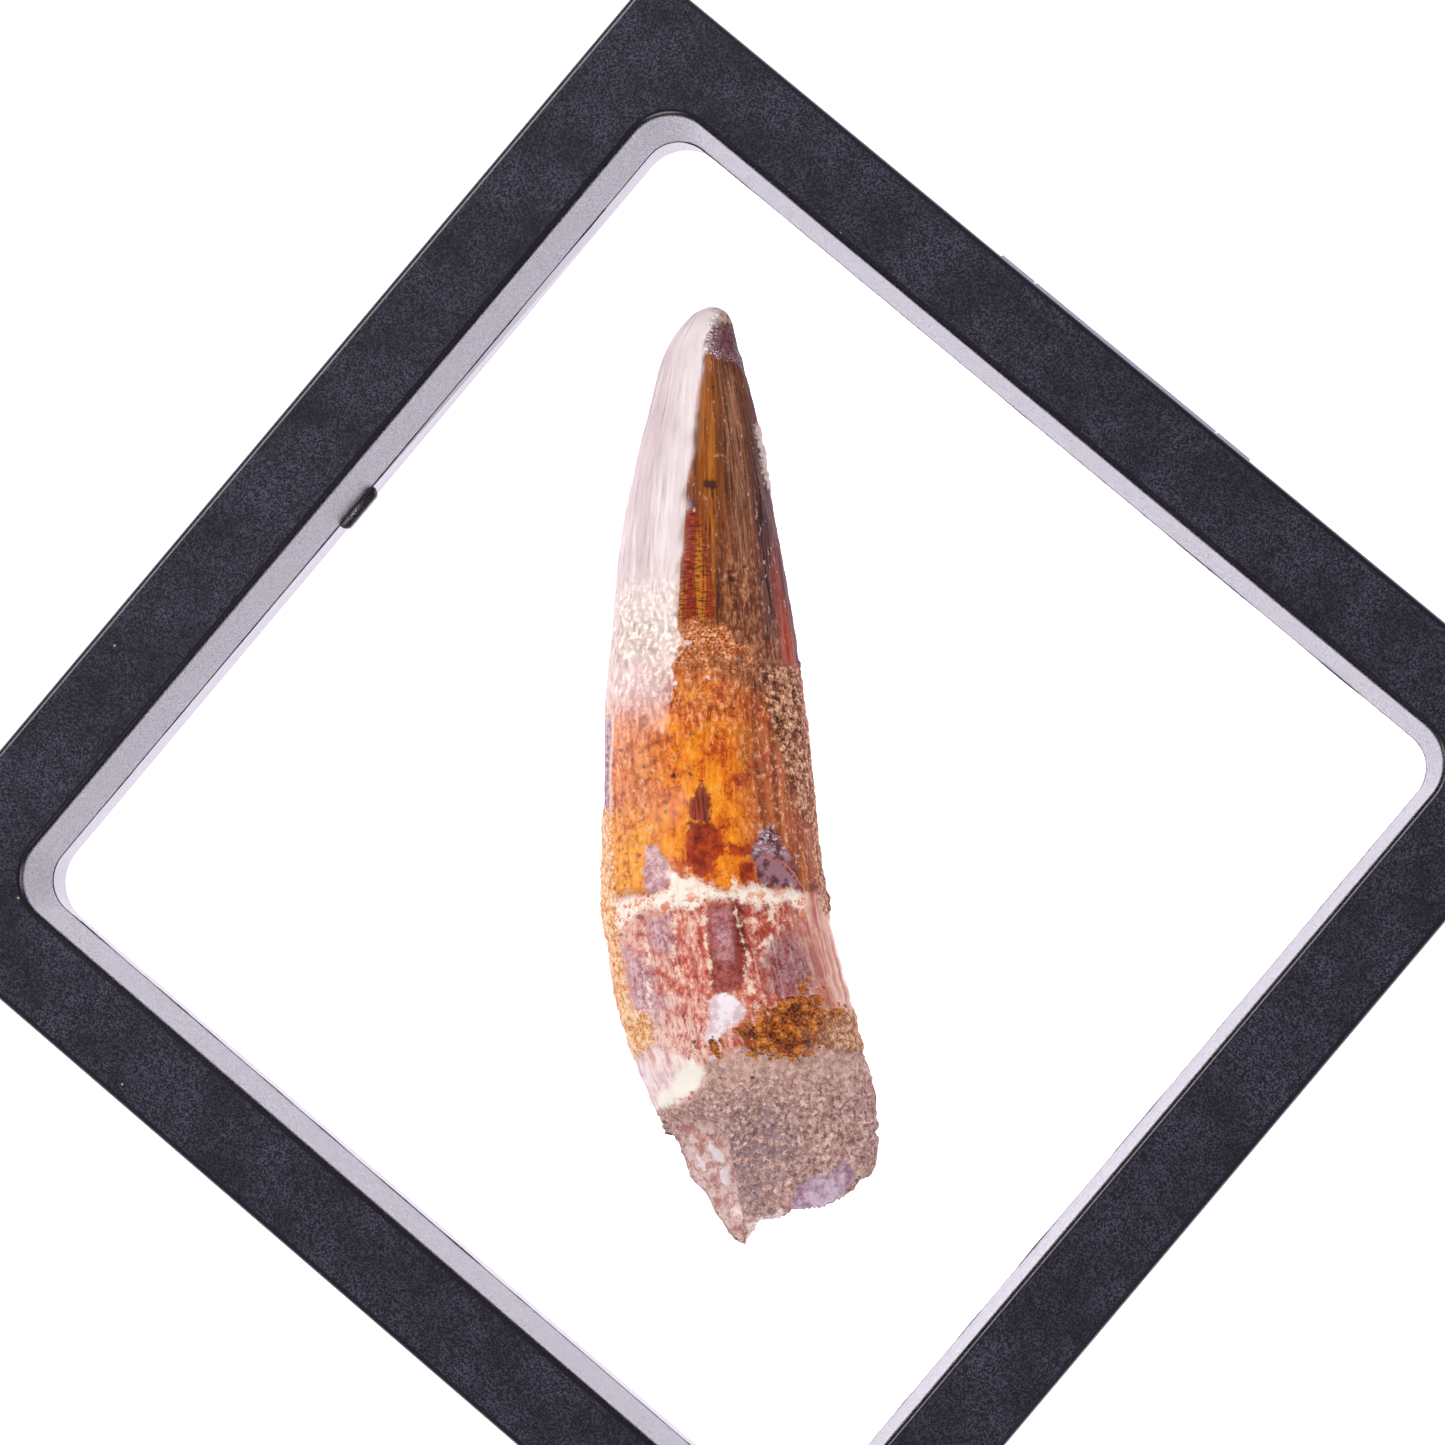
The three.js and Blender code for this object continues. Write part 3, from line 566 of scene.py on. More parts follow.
def orange_belt(look, base):
    """The glowing belt over the root: orange in the middle, scuffed pink to its left and brown to its right. Its left
    side is laid paler, partly its scuffed colour and partly painted light from the left.
    """
    blend = look.math("MULTIPLY_ADD", look.scuff, 0.40, look.math("MULTIPLY", look.blotch, 0.6))
    glow = look.ramp(blend, [
        (0.34, (126, 34, 10)), (0.41, (190, 74, 10)), (0.47, (230, 116, 10)), (0.55, (246, 148, 18)), (0.65, (252, 178, 60)),
    ])
    left = look.span(look.across, -0.25, -0.62)
    right = look.span(look.across, 0.25, 0.58)
    peach = look.blend(look.mix(0.6, look.streak, look.mottle), 0.40, 0.56, (160, 50, 18), (240, 152, 96))
    gold = look.blend(look.mottle, 0.36, 0.54, (206, 92, 14), (252, 174, 54))
    peach = look.mix(look.span(look.math("MULTIPLY_ADD", look.blotch, 9.0, look.height), 44.6, 41.8), peach, gold)
    # Paler peach over the left side: partly the belt's scuffed colour, partly painted light from the left.
    glow = look.over(glow, peach, left, 0.75)
    ruddy = look.blend(look.streak, 0.38, 0.6, (110, 40, 22), (192, 104, 60))
    glow = look.over(glow, ruddy, right, 0.88)
    top = look.span(look.height, 43, 49)
    glow = look.over(glow, look.blend(look.scuff, 0.38, 0.56, (132, 44, 20), (232, 128, 50)), top, look.span(look.mottle, 0.6, 0.46), 0.8)
    glow = look.over(glow, (150, 48, 10), look.span(look.hair, 0.45, 0.34), 0.45)
    glow = look.over(glow, (116, 34, 14), look.span(look.grain, 0.45, 0.35), look.span(look.blotch, 0.62, 0.42), 0.9)
    glow = look.over(glow, (156, 54, 14), look.span(look.mottle, 0.44, 0.34), 0.7)
    sides = look.math("MAXIMUM", look.math("MAXIMUM", left, right), top)
    sides = look.math("MULTIPLY_ADD", sides, 0.8, 0.14)
    glow = look.over(glow, (242, 198, 166), look.span(look.mix(0.4, look.scuff, look.grain), 0.52, 0.62), sides, 0.75)
    base = look.over(base, glow, look.zone("glow", 3.5, 0.9, look.blotch))
    worms = look.noise(look.shifted(look.spot, 51), 0.42, detail=3, roughness=0.75, distortion=1.6)
    scab = look.ramp(worms, [
        (0.34, (70, 32, 22)), (0.41, (132, 58, 24)), (0.48, (196, 94, 34)), (0.55, (226, 150, 96)), (0.63, (250, 208, 170)),
    ])
    thick = look.span(look.math("MULTIPLY_ADD", look.mottle, 14.0, look.height), 58.6, 61.2, 0.22, 1.0)
    base = look.over(base, scab, look.zone("scab", 5.0, 0.5, look.mottle), thick)
    patch = look.blend(look.mottle, 0.38, 0.6, (122, 22, 6), (186, 62, 12))
    patch = look.over(patch, (74, 14, 8), look.span(look.grain, 0.45, 0.36), 0.6)
    base = look.over(base, patch, look.zone("patch", 1.3, 0.12), 0.95)
    wedge = look.blend(look.hair, 0.38, 0.60, (70, 14, 12), (166, 64, 44))
    base = look.over(base, wedge, look.zone("wedge", 1.6, 0.15), 0.95)
    rim = look.blend(look.grain, 0.4, 0.6, (116, 76, 84), (200, 168, 178))
    base = look.over(base, rim, look.zone("grey_rim", 0.8, 0.25), 0.9)
    base = look.over(base, (236, 206, 186), look.zone("rim_line", 0.3, 0.1), 0.75)
    mauve = look.blend(look.mottle, 0.40, 0.62, (176, 120, 122), (228, 190, 194))
    mauve = look.over(mauve, (150, 92, 100), look.span(look.grain, 0.44, 0.36), 0.6)
    base = look.over(base, mauve, look.zone("left_flake", 1.6, 0.08))
    plum = look.blend(look.mottle, 0.42, 0.56, (96, 44, 46), (158, 112, 126))
    plum = look.over(plum, (232, 222, 228), look.span(look.grain, 0.50, 0.62), look.span(look.height, 34.2, 36.5), 0.85)
    base = look.over(base, plum, look.zone("right_flake", 1.2, 0.1))
    return look.over(base, (208, 116, 76), look.zone("curl", 0.25, 0.06), 0.8)


def root(look, base):
    """Dentine below the crown: pink and maroon, lavender patches, a cream band and cream veins. It is laid paler to the
    left and darker to the right, partly its own colour and partly painted light and shade.
    """
    blend = look.math("MULTIPLY_ADD", look.mottle, 0.6, look.math("MULTIPLY", look.scuff, 0.4))
    shade = look.ramp(blend, [
        (0.37, (140, 40, 32)), (0.45, (198, 90, 72)), (0.51, (222, 140, 120)), (0.60, (246, 214, 200)),
    ])
    # Darker red to the right, paler to the left and low on the left: partly the dentine's own colour, partly painted
    # light from the left and painted shade on the right.
    shade = look.over(shade, (152, 50, 36), look.span(look.across, -0.05, 0.35), look.span(look.mottle, 0.60, 0.44), 0.6)
    shade = look.over(shade, (238, 204, 196), look.span(look.across, -0.3, -0.8), look.span(look.mix(0.5, look.streak, look.mottle), 0.42, 0.56), 0.7)
    low = look.times(look.span(look.height, 23.5, 20.0), look.span(look.across, 0.1, -0.3))
    shade = look.over(shade, (248, 216, 206), low, look.span(look.scuff, 0.38, 0.56), 0.65)
    lavender = look.blend(look.grain, 0.36, 0.62, (150, 96, 106), (222, 190, 202))
    shade = look.over(shade, lavender, look.zone("lavender", 3.0, 0.9, look.blotch), 0.75)
    plum = look.blend(look.grain, 0.38, 0.62, (112, 50, 52), (172, 122, 134))
    shade = look.over(shade, plum, look.zone("plum", 3.0, 0.9, look.blotch), 0.8)
    shade = look.over(shade, (206, 84, 50), look.span(look.streak, 0.54, 0.66), look.span(look.grain, 0.44, 0.56), 0.65)
    shade = look.over(shade, (250, 226, 208), look.span(look.hair, 0.57, 0.67), 0.4)
    shade = look.over(shade, (112, 34, 30), look.span(look.hair, 0.44, 0.34), 0.45)
    edge = look.blend(look.streak, 0.4, 0.6, (182, 102, 84), (234, 200, 176))
    shade = look.over(shade, edge, look.span(look.across, 0.62, 0.85), look.span(look.height, 17, 19), 0.75)
    core = look.span(look.math("MULTIPLY_ADD", look.mottle, 3.4, look.attribute("column")), 1.6, 3.5)
    core = look.times(core, look.span(look.math("MULTIPLY_ADD", look.mottle, 5.0, look.height), 26.5, 30.0))
    column = look.mix(core, look.blend(look.grain, 0.4, 0.6, (122, 36, 32), (170, 84, 76)), look.blend(look.grain, 0.36, 0.62, (156, 90, 96), (212, 164, 172)))
    shade = look.over(shade, column, look.zone("column", 0.9, 0.25), 0.92)
    shade = look.over(shade, look.blend(look.mottle, 0.4, 0.55, (84, 20, 14), (146, 52, 38)), look.zone("cleft", 1.2, 0.3), 0.9)
    base = look.over(base, shade, look.zone("root", 1.4, 0.3))
    peach = look.times(look.span(look.mottle, 0.50, 0.58), look.span(look.height, 33.2, 30.6))
    cream = look.mix(peach, (252, 242, 230), (228, 134, 90))
    cream = look.over(cream, (232, 196, 172), look.span(look.hair, 0.45, 0.36), 0.5)
    base = look.over(base, cream, look.zone("cream", 3.2, 0.4, look.mottle))
    facet = look.blend(look.mottle, 0.36, 0.6, (228, 192, 194), (250, 230, 224))
    facet = look.over(facet, (198, 120, 110), look.span(look.hair, 0.45, 0.36), 0.5)
    facet = look.over(facet, (254, 246, 234), look.zone("facet_cream", 2.2, 0.5, look.mottle))
    facet = look.over(facet, (206, 112, 84), look.span(look.streak, 0.50, 0.60), look.span(look.height, 15.6, 17.2), 0.6)
    base = look.over(base, facet, look.zone("facet", 2.6, 0.3, look.mottle))
    broken = look.math("MULTIPLY_ADD", look.mottle, 2.2, -1.15)
    vein = look.span(look.math("ADD", look.attribute("vein"), look.math("MULTIPLY_ADD", look.grain, 0.7, broken)), 0.12, 0.42)
    base = look.over(base, (250, 226, 206), vein, 0.85)
    chip = look.blend(look.mottle, 0.40, 0.58, (222, 196, 204), (250, 240, 244))
    return look.over(base, chip, look.zone("chip", 1.1, 0.12, look.grain), 0.95)


def stone(look, base):
    """The sandstone that fills the root's end, with its ledge and its purple fracture."""
    blend = look.math("MULTIPLY_ADD", look.tone, 0.3, look.math("MULTIPLY", look.grain, 0.7))
    shade = look.ramp(blend, [
        (0.34, (130, 92, 90)), (0.43, (178, 132, 124)), (0.52, (208, 166, 154)), (0.66, (244, 214, 202)),
    ])
    dark = look.zone("dark_stone", 4.0, 2.4, look.blotch)
    gaps = look.times(look.span(look.pebble, 0.38, 0.60), look.math("MULTIPLY_ADD", dark, 0.75, 0.10))
    shade = look.over(shade, (116, 100, 118), gaps, 0.7)
    shade = look.over(shade, (94, 62, 62), look.span(look.fine, 0.42, 0.33), 0.5)
    shade = look.over(shade, (240, 214, 200), look.span(look.fine, 0.58, 0.68), 0.45)
    shade = look.over(shade, (222, 184, 170), look.span(look.height, 12.5, 17), 0.45)
    base = look.over(base, shade, look.zone("stone", 1.4, 0.35, look.grain))
    ledge = look.blend(look.mottle, 0.40, 0.58, (190, 130, 120), (238, 208, 202))
    ledge = look.over(ledge, (150, 92, 92), look.span(look.grain, 0.45, 0.37), 0.6)
    base = look.over(base, ledge, look.zone("ledge", 0.9, 0.3), 0.9)
    fracture = look.blend(look.mottle, 0.36, 0.62, (160, 112, 138), (222, 198, 216))
    base = look.over(base, fracture, look.zone("fracture", 0.9, 0.2), 0.92)
    return look.over(base, (244, 230, 234), look.zone("shard", 0.6, 0.12), 0.9)


def crusts(look, base, sand, rust):
    """Sand and rust grown on the tooth's sides: pale crumbs with dark gaps, and round rusty beads. Their shade follows
    the grains' height, darker in the gaps and lighter on top, partly their own tone and partly painted shade and
    highlight.
    """
    grit = look.noise(look.shifted(look.spot, 19), 0.26, detail=4, roughness=0.75)
    # The grains' height darkens the gaps and lightens the tops: partly their own tone, partly painted shade and painted
    # highlight.
    body = look.math("MULTIPLY_ADD", look.lump, 0.26, look.math("MULTIPLY", grit, 0.8))
    tan = look.ramp(body, [
        (0.36, (56, 28, 20)), (0.43, (124, 70, 46)), (0.50, (186, 124, 90)), (0.58, (226, 176, 140)), (0.69, (250, 226, 202)),
    ])
    warm = look.ramp(body, [
        (0.36, (208, 122, 60)), (0.44, (244, 172, 106)), (0.52, (252, 212, 166)), (0.64, (254, 240, 218)),
    ])
    # The crust on the left is laid paler and warmer: partly its own colour, partly painted light from the left.
    left = look.span(look.across, -0.5, -0.8)
    grains = look.over(tan, warm, left, 0.9)
    sandy = look.times(look.span(look.height, 24, 22), look.span(look.across, 0.2, 0.5))
    grains = look.over(grains, look.blend(body, 0.38, 0.60, (152, 92, 56), (232, 186, 150)), sandy, 0.8)
    grains = look.over(grains, (44, 20, 16), look.span(look.grain, 0.42, 0.34), look.span(look.across, -0.6, -0.2), look.math("SUBTRACT", 1.0, sandy), 0.85)
    base = look.over(base, grains, sand)
    # The beads' shade also follows their height: partly their own tone, partly painted shade in the gaps and painted
    # highlight on top.
    beads = look.ramp(body, [
        (0.35, (54, 18, 8)), (0.43, (128, 58, 14)), (0.52, (192, 102, 26)), (0.64, (236, 156, 76)),
    ])
    beads = look.over(beads, (62, 26, 24), look.span(look.mottle, 0.54, 0.62), 0.75)
    return look.over(base, beads, rust)


def pale_facet_and_painted_glare(look, base):
    """The worn, greyish left side of the crown, sandy at its foot. Its paleness is partly the worn enamel's own colour
    and partly painted glare of the key light that the films mirror there.
    """
    shade = look.blend(look.across, -0.70, -0.34, (164, 130, 132), (184, 160, 158))
    shade = look.over(shade, (206, 184, 180), look.span(look.streak, 0.50, 0.62), 0.7)
    shade = look.over(shade, (120, 80, 82), look.span(look.hair, 0.48, 0.34), look.span(look.across, -0.2, -0.5, 0.35, 1.0))
    foot = look.span(look.height, 64, 56)
    sand = look.ramp(look.mix(0.5, look.scuff, look.grain), [
        (0.41, (116, 72, 60)), (0.47, (184, 146, 128)), (0.53, (222, 196, 178)), (0.60, (252, 240, 228)),
    ])
    shade = look.over(shade, sand, foot, look.span(look.mottle, 0.38, 0.52, 0.5, 1.0))
    warm = look.blend(look.scuff, 0.40, 0.6, (198, 142, 132), (240, 214, 208))
    shade = look.over(shade, warm, look.span(look.height, 54.5, 51.5), look.span(look.mottle, 0.32, 0.52), 0.9)
    fade = look.span(look.math("MULTIPLY_ADD", look.mottle, 2.4, look.height), 48.0, 52.0)
    # The pale shade laid here is partly the enamel's own colour and partly painted glare.
    return look.over(base, shade, look.zone("pale", 0.7, 0.06), fade)


def tip_cap(look, base):
    """The worn tip: tan crumbs on plum, and a frosty lower edge."""
    shade = look.blend(look.grain, 0.40, 0.62, (82, 28, 38), (132, 76, 80))
    shade = look.over(shade, (206, 168, 144), look.span(look.height, 83.9, 84.6), look.span(look.scuff, 0.42, 0.56), 0.9)
    edge = look.span(look.math("MULTIPLY_ADD", look.mottle, 1.4, look.attribute("tip_cap")), 2.4, 0.6)
    frost = look.times(edge, look.span(look.across, 0.75, 0.3, 0.35, 1.0), look.span(look.fine, 0.50, 0.58))
    shade = look.over(shade, (236, 226, 232), frost, 0.95)
    return look.over(base, shade, look.zone("tip_cap", 0.9, 0.08, look.grain))


def tooth_look():
    look = ToothLook("fossil_tooth")
    sand = look.zone("crust", 2.4, 0.25, look.grain)
    edge = look.math("MULTIPLY_ADD", look.lump, 0.5, look.math("MULTIPLY_ADD", look.mottle, 1.0, -0.1))
    rust = look.zone("rust", 3.6, 0.2, edge)
    base = root(look, orange_belt(look, enamel(look)))
    base = crusts(look, stone(look, base), sand, rust)
    base = tip_cap(look, pale_facet_and_painted_glare(look, base))
    base = look.over(base, (52, 16, 10), look.zone("spot", 1.2, 0.12, look.mottle), 0.92)
    rough = look.math("MAXIMUM", look.math("MAXIMUM", sand, rust), look.zone("stone", 1.4, 0.35, look.grain))
    roughness = look.math("MULTIPLY_ADD", rough, 0.3, look.span(look.scuff, 0.35, 0.65, 0.34, 0.5))
    relief_share = look.math("MULTIPLY_ADD", rough, 0.7, 0.3)
    bumps = look.times(look.math("MULTIPLY_ADD", look.crumb, -0.5, look.fine), relief_share)
    bumps = look.math("MULTIPLY_ADD", look.hair, look.math("MULTIPLY_ADD", rough, -0.5, 0.5), bumps)
    bumps = look.math("MULTIPLY_ADD", look.scuff, 0.35, bumps)
    return look.shade(base, roughness, look.bump(bumps, 0.13), Specular_IOR_Level=0.12)


def floor_look():
    """A white sheet lit from below, as on a light table."""
    look = Look("white_floor")
    glow = look.add("ShaderNodeEmission")
    look.put(glow.inputs["Color"], (*FLOOR_GLOW, 1.0))
    look.tree.links.new(glow.outputs[0], look.output.inputs["Surface"])
    return look.material


# The frame's halves

def square_loop(half, radius, z):
    centre = half - radius
    loop = []
    for corner, (way_x, way_y) in enumerate(((1, 1), (-1, 1), (-1, -1), (1, -1))):
        for step in range(CORNER_STEPS + 1):
            angle = math.pi / 2 * (corner + step / CORNER_STEPS)
            x = way_x * centre + radius * math.cos(angle)
            y = way_y * centre + radius * math.sin(angle)
            loop.append((x, y + CENTRE_Y_MM, z))
    return loop


def bar_section():
    """The bar's section as (half side, corner radius, height over the split, is it grained)."""
    half, outer, lip = HALF_MM, OUTER_ROUND_MM, LIP_ROUND_MM
    section = [(half - 0.1, PARTING_MM / 2, 1), (half, PARTING_MM / 2 + 0.1, 1), (half, PARTING_MM / 2 + 0.2, 1)]
    section.append((half, SPLIT_MM - outer - SUPPORT_MM, 1))
    for step in range(ROUND_STEPS + 1):
        turn = math.pi / 2 * step / ROUND_STEPS
        section.append((half - outer * (1 - math.cos(turn)), SPLIT_MM - outer * (1 - math.sin(turn)), 0))
    section.append((half - outer - SUPPORT_MM, SPLIT_MM, 1))
    section.append((WINDOW_MM + lip + SUPPORT_MM, SPLIT_MM, 0))
    for step in range(ROUND_STEPS + 1):
        turn = math.pi / 2 * step / ROUND_STEPS
        section.append((WINDOW_MM + lip * (1 - math.sin(turn)), SPLIT_MM - lip * (1 - math.cos(turn)), 0))
    section.append((WINDOW_MM - SUPPORT_MM * DRAFT_MM / SPLIT_MM, SPLIT_MM - lip - SUPPORT_MM, 0))
    section.append((SPLIT_WINDOW_MM + SUPPORT_MM * DRAFT_MM / SPLIT_MM, REBATE_DEPTH_MM + SUPPORT_MM, 0))
    section.append((SPLIT_WINDOW_MM, REBATE_DEPTH_MM, 0))
    section.append((SPLIT_WINDOW_MM + REBATE_WIDTH_MM, REBATE_DEPTH_MM, 0))
    section.append((SPLIT_WINDOW_MM + REBATE_WIDTH_MM, PARTING_MM / 2, 0))
    return section


def corner_radius(size):
    """The corner grows with the square from the window's, and shrinks to the outer one at the outer wall."""
    if size > HALF_MM - OUTER_ROUND_MM - 2 * SUPPORT_MM:
        return OUTER_CORNER_MM - (HALF_MM - size)
    if size > WINDOW_MM + LIP_ROUND_MM + 2 * SUPPORT_MM:
        return 0.5
    return WINDOW_CORNER_MM + (size - WINDOW_MM)


def half_frame(name, side, looks):
    section = bar_section()
    points, faces, grained = [], [], []
    for size, height, _ in section:
        points += square_loop(size, corner_radius(size), SPLIT_MM + side * height)
    count = 4 * (CORNER_STEPS + 1)
    for level in range(len(section)):
        after = (level + 1) % len(section)
        for i in range(count):
            j = (i + 1) % count
            quad = [level * count + i, level * count + j, after * count + j, after * count + i]
            faces.append(quad if side > 0 else quad[::-1])
            grained.append(0 if section[level][2] and section[after][2] or section[level][1] == SPLIT_MM and section[after][1] == SPLIT_MM else 1)
    piece = make_mesh(name, points, faces, looks)
    piece.data.polygons.foreach_set("material_index", grained)
    return piece


def round_bar(name, radius, start, end, look, edge=0.0):
    """A round bar on the hinge's axis, with its two ends rounded off by edge."""
    stations = [(0, start), (radius - edge, start), (radius, start + edge), (radius, end - edge), (radius - edge, end), (0, end)]
    rings = [s for s in stations if s[0] > 0]
    points = [(start, HALF_MM + HINGE_OFFSET_MM + CENTRE_Y_MM, SPLIT_MM)]
    for size, x in rings:
        for i in range(BARREL_SIDES):
            angle = 2 * math.pi * i / BARREL_SIDES
            y = HALF_MM + HINGE_OFFSET_MM + CENTRE_Y_MM + size * math.cos(angle)
            points.append((x, y, SPLIT_MM + size * math.sin(angle)))
    points.append((end, HALF_MM + HINGE_OFFSET_MM + CENTRE_Y_MM, SPLIT_MM))
    faces = []
    last = len(points) - 1
    for i in range(BARREL_SIDES):
        j = (i + 1) % BARREL_SIDES
        faces.append((0, 1 + j, 1 + i))
        faces.append((last, last - BARREL_SIDES + i, last - BARREL_SIDES + j))
        for ring in range(len(rings) - 1):
            a, b = 1 + ring * BARREL_SIDES, 1 + (ring + 1) * BARREL_SIDES
            faces.append((a + i, a + j, b + j, b + i))
    return make_mesh(name, points, faces, [look])


def combine(piece, tool, operation):
    """Cuts or joins a closed tool into a piece, and takes the tool away."""
    modifier = piece.modifiers.new("shape", "BOOLEAN")
    modifier.operation = operation
    modifier.solver = "EXACT"
    modifier.material_mode = "TRANSFER"
    modifier.object = tool
    bpy.context.view_layer.update()
    shaped = bpy.data.meshes.new_from_object(piece.evaluated_get(bpy.context.evaluated_depsgraph_get()))
    piece.modifiers.clear()
    old = piece.data
    piece.data = shaped
    shaped.name = piece.name
    bpy.data.meshes.remove(old)
    bpy.data.objects.remove(tool)


def add_hinge(back, front, look):
    end = HINGE_LENGTH_MM / 2
    ear = end - EAR_MM
    barrel = ear - END_GAP_MM
    wide = BARREL_RADIUS_MM + RELIEF_MM
    combine(back, round_bar("room", wide, -ear, ear, look), "DIFFERENCE")
    for way in (-1, 1):
        start, stop = sorted((way * barrel, way * (end + RELIEF_MM)))
        combine(front, round_bar("room", wide, start, stop, look), "DIFFERENCE")
        start, stop = sorted((way * ear, way * end))
        combine(back, round_bar("ear", BARREL_RADIUS_MM, start, stop, look, 0.12), "UNION")
    combine(front, round_bar("barrel", BARREL_RADIUS_MM, -barrel, barrel, look, 0.12), "UNION")


def lug(look):
    """A flat nose with rounded corners and soft edges, half sunk in the window wall."""
    wall = -SPLIT_WINDOW_MM - 0.5
    nose = -SPLIT_WINDOW_MM + LUG_REACH_MM
    corner = LUG_CORNER_MM
    half = LUG_LENGTH_MM / 2
    outline = [(wall, half), (wall, -half)]
    for centre_y, start in ((-half + corner, -math.pi / 2), (half - corner, 0)):
        for step in range(7):
            angle = start + math.pi / 2 * step / 6
            outline.append((nose - corner + corner * math.cos(angle), centre_y + corner * math.sin(angle)))
    soft = 0.15
    points = []
    for inset, z in ((soft, 0), (0, soft), (0, LUG_THICK_MM - soft), (soft, LUG_THICK_MM)):
        shrink = 1 - inset / half
        for x, y in outline:
            points.append((wall + (x - wall) * (1 - inset / (nose - wall)), y * shrink + CENTRE_Y_MM, LUG_TOP_MM - LUG_THICK_MM + z))
    count = len(outline)
    faces = [list(range(count))[::-1], [3 * count + i for i in range(count)]]
    for level in range(3):
        for i in range(count):
            j = (i + 1) % count
            faces.append([level * count + i, level * count + j, (level + 1) * count + j, (level + 1) * count + i])
    return make_mesh("lug", points, faces, [look])


# The tooth

def along(stations, column, place):
    """A smooth curve through a few stations, read at many places."""
    x, y = stations[:, 0], stations[:, column]
    i = np.clip(np.searchsorted(x, place, side="left") - 1, 0, len(x) - 2)
    before = np.maximum(i - 1, 0)
    after = np.minimum(i + 2, len(x) - 1)
    span = x[i + 1] - x[i]
    t = np.clip((place - x[i]) / span, 0, 1)
    slope0 = (y[i + 1] - y[before]) / (x[i + 1] - x[before])
    slope1 = (y[after] - y[i]) / (x[after] - x[i])
    t2, t3 = t * t, t * t * t
    start = (2 * t3 - 3 * t2 + 1) * y[i] + (t3 - 2 * t2 + t) * span * slope0
    return start + (3 * t2 - 2 * t3) * y[i + 1] + (t3 - t2) * span * slope1


def section_at(height):
    left = along(SIDE_STATIONS_MM, 1, height)
    right = along(SIDE_STATIONS_MM, 2, height)
    half_width = (right - left) / 2
    return (left + right) / 2, half_width, np.minimum(half_width * THICKNESS_RATIO, MOST_HALF_THICKNESS_MM)


def bump_at(value, centre, reach):
    d = np.abs(value - centre) / reach
    return np.where(d < 1, (1 - np.minimum(d, 1) ** 2) ** 2, 0)


def step_at(value, low, high):
    t = np.clip((value - low) / (high - low), 0, 1)
    return t * t * (3 - 2 * t)


def relief(height, angle):
    """The tooth's broad lumps, ledges and facets, as a share of the section, the same as in the model."""
    front, right = np.sin(angle), np.cos(angle)
    ahead = np.maximum(front, 0)
    total = 0.02 * bump_at(right, -0.25, 0.2) * ahead * bump_at(height, 60, 26)
    total += 0.018 * step_at(height, 29, 32)
    total += 0.035 * bump_at(height, 50, 14) * bump_at(right, 0.8, 0.5)
    total += 0.03 * bump_at(height, 20, 5) * bump_at(right, 0.45, 0.6) * ahead
    total += 0.025 * bump_at(height, 23, 12) * bump_at(right, -0.95, 0.4)
    total -= 0.04 * bump_at(height, 9, 8) * ahead
    total += 0.006 * np.sin(3 * angle + 0.17 * height) + 0.005 * np.sin(7 * angle - 0.41 * height)
    rough = 0.012 * np.sin(0.9 * height + 5 * angle) * np.sin(1.7 * height - 3 * angle + 1)
    return total + rough * (1 - step_at(height, 20, 32))


def break_height(x, z):
    back = np.clip(-z / MOST_HALF_THICKNESS_MM, 0, 1)
    chips = 0.5 * np.sin(1.9 * x + 0.6 * z) + 0.35 * np.sin(1.3 * z - 2.7 * x)
    crumbs = 0.13 * np.sin(8.3 * x + 2 * z) * np.sin(5.3 * x - 3.1 * z + 1) + 0.07 * np.sin(13.7 * x + 5 * z)
    return along(BREAK_STATIONS_MM, 1, x) + (BACK_BREAK_RISE_MM + chips) * back + crumbs


def sampled(function, points, size, shift=0.0):
    """A noise function read at many points, with features of about the given size."""
    offset = np.array((shift, shift * 1.7, shift * 0.6))
    return np.array([function(Vector(p)) for p in points / size + offset])


def signed_distance(x, y, outline):
    """How deep each point lies inside an outline, negative outside."""
    corners = np.array(outline, dtype=float)
    following = np.roll(corners, -1, axis=0)
    nearest = np.full(x.shape, 1e9)
    inside = np.zeros(x.shape, dtype=bool)
    for (x0, y0), (x1, y1) in zip(corners, following):
        dx, dy = x1 - x0, y1 - y0
        t = np.clip(((x - x0) * dx + (y - y0) * dy) / (dx * dx + dy * dy), 0, 1)
        nearest = np.minimum(nearest, np.hypot(x - x0 - t * dx, y - y0 - t * dy))
        crosses = (y0 > y) != (y1 > y)
        rise = dy if dy else 1e-9
        inside ^= crosses & (x < x0 + (y - y0) * dx / rise)
    return np.where(inside, nearest, -nearest)


def line_distance(x, y, line):
    nearest = np.full(x.shape, 1e9)
    for (x0, y0), (x1, y1) in zip(line, line[1:]):
        dx, dy = x1 - x0, y1 - y0
        t = np.clip(((x - x0) * dx + (y - y0) * dy) / (dx * dx + dy * dy), 0, 1)
        nearest = np.minimum(nearest, np.hypot(x - x0 - t * dx, y - y0 - t * dy))
    return nearest


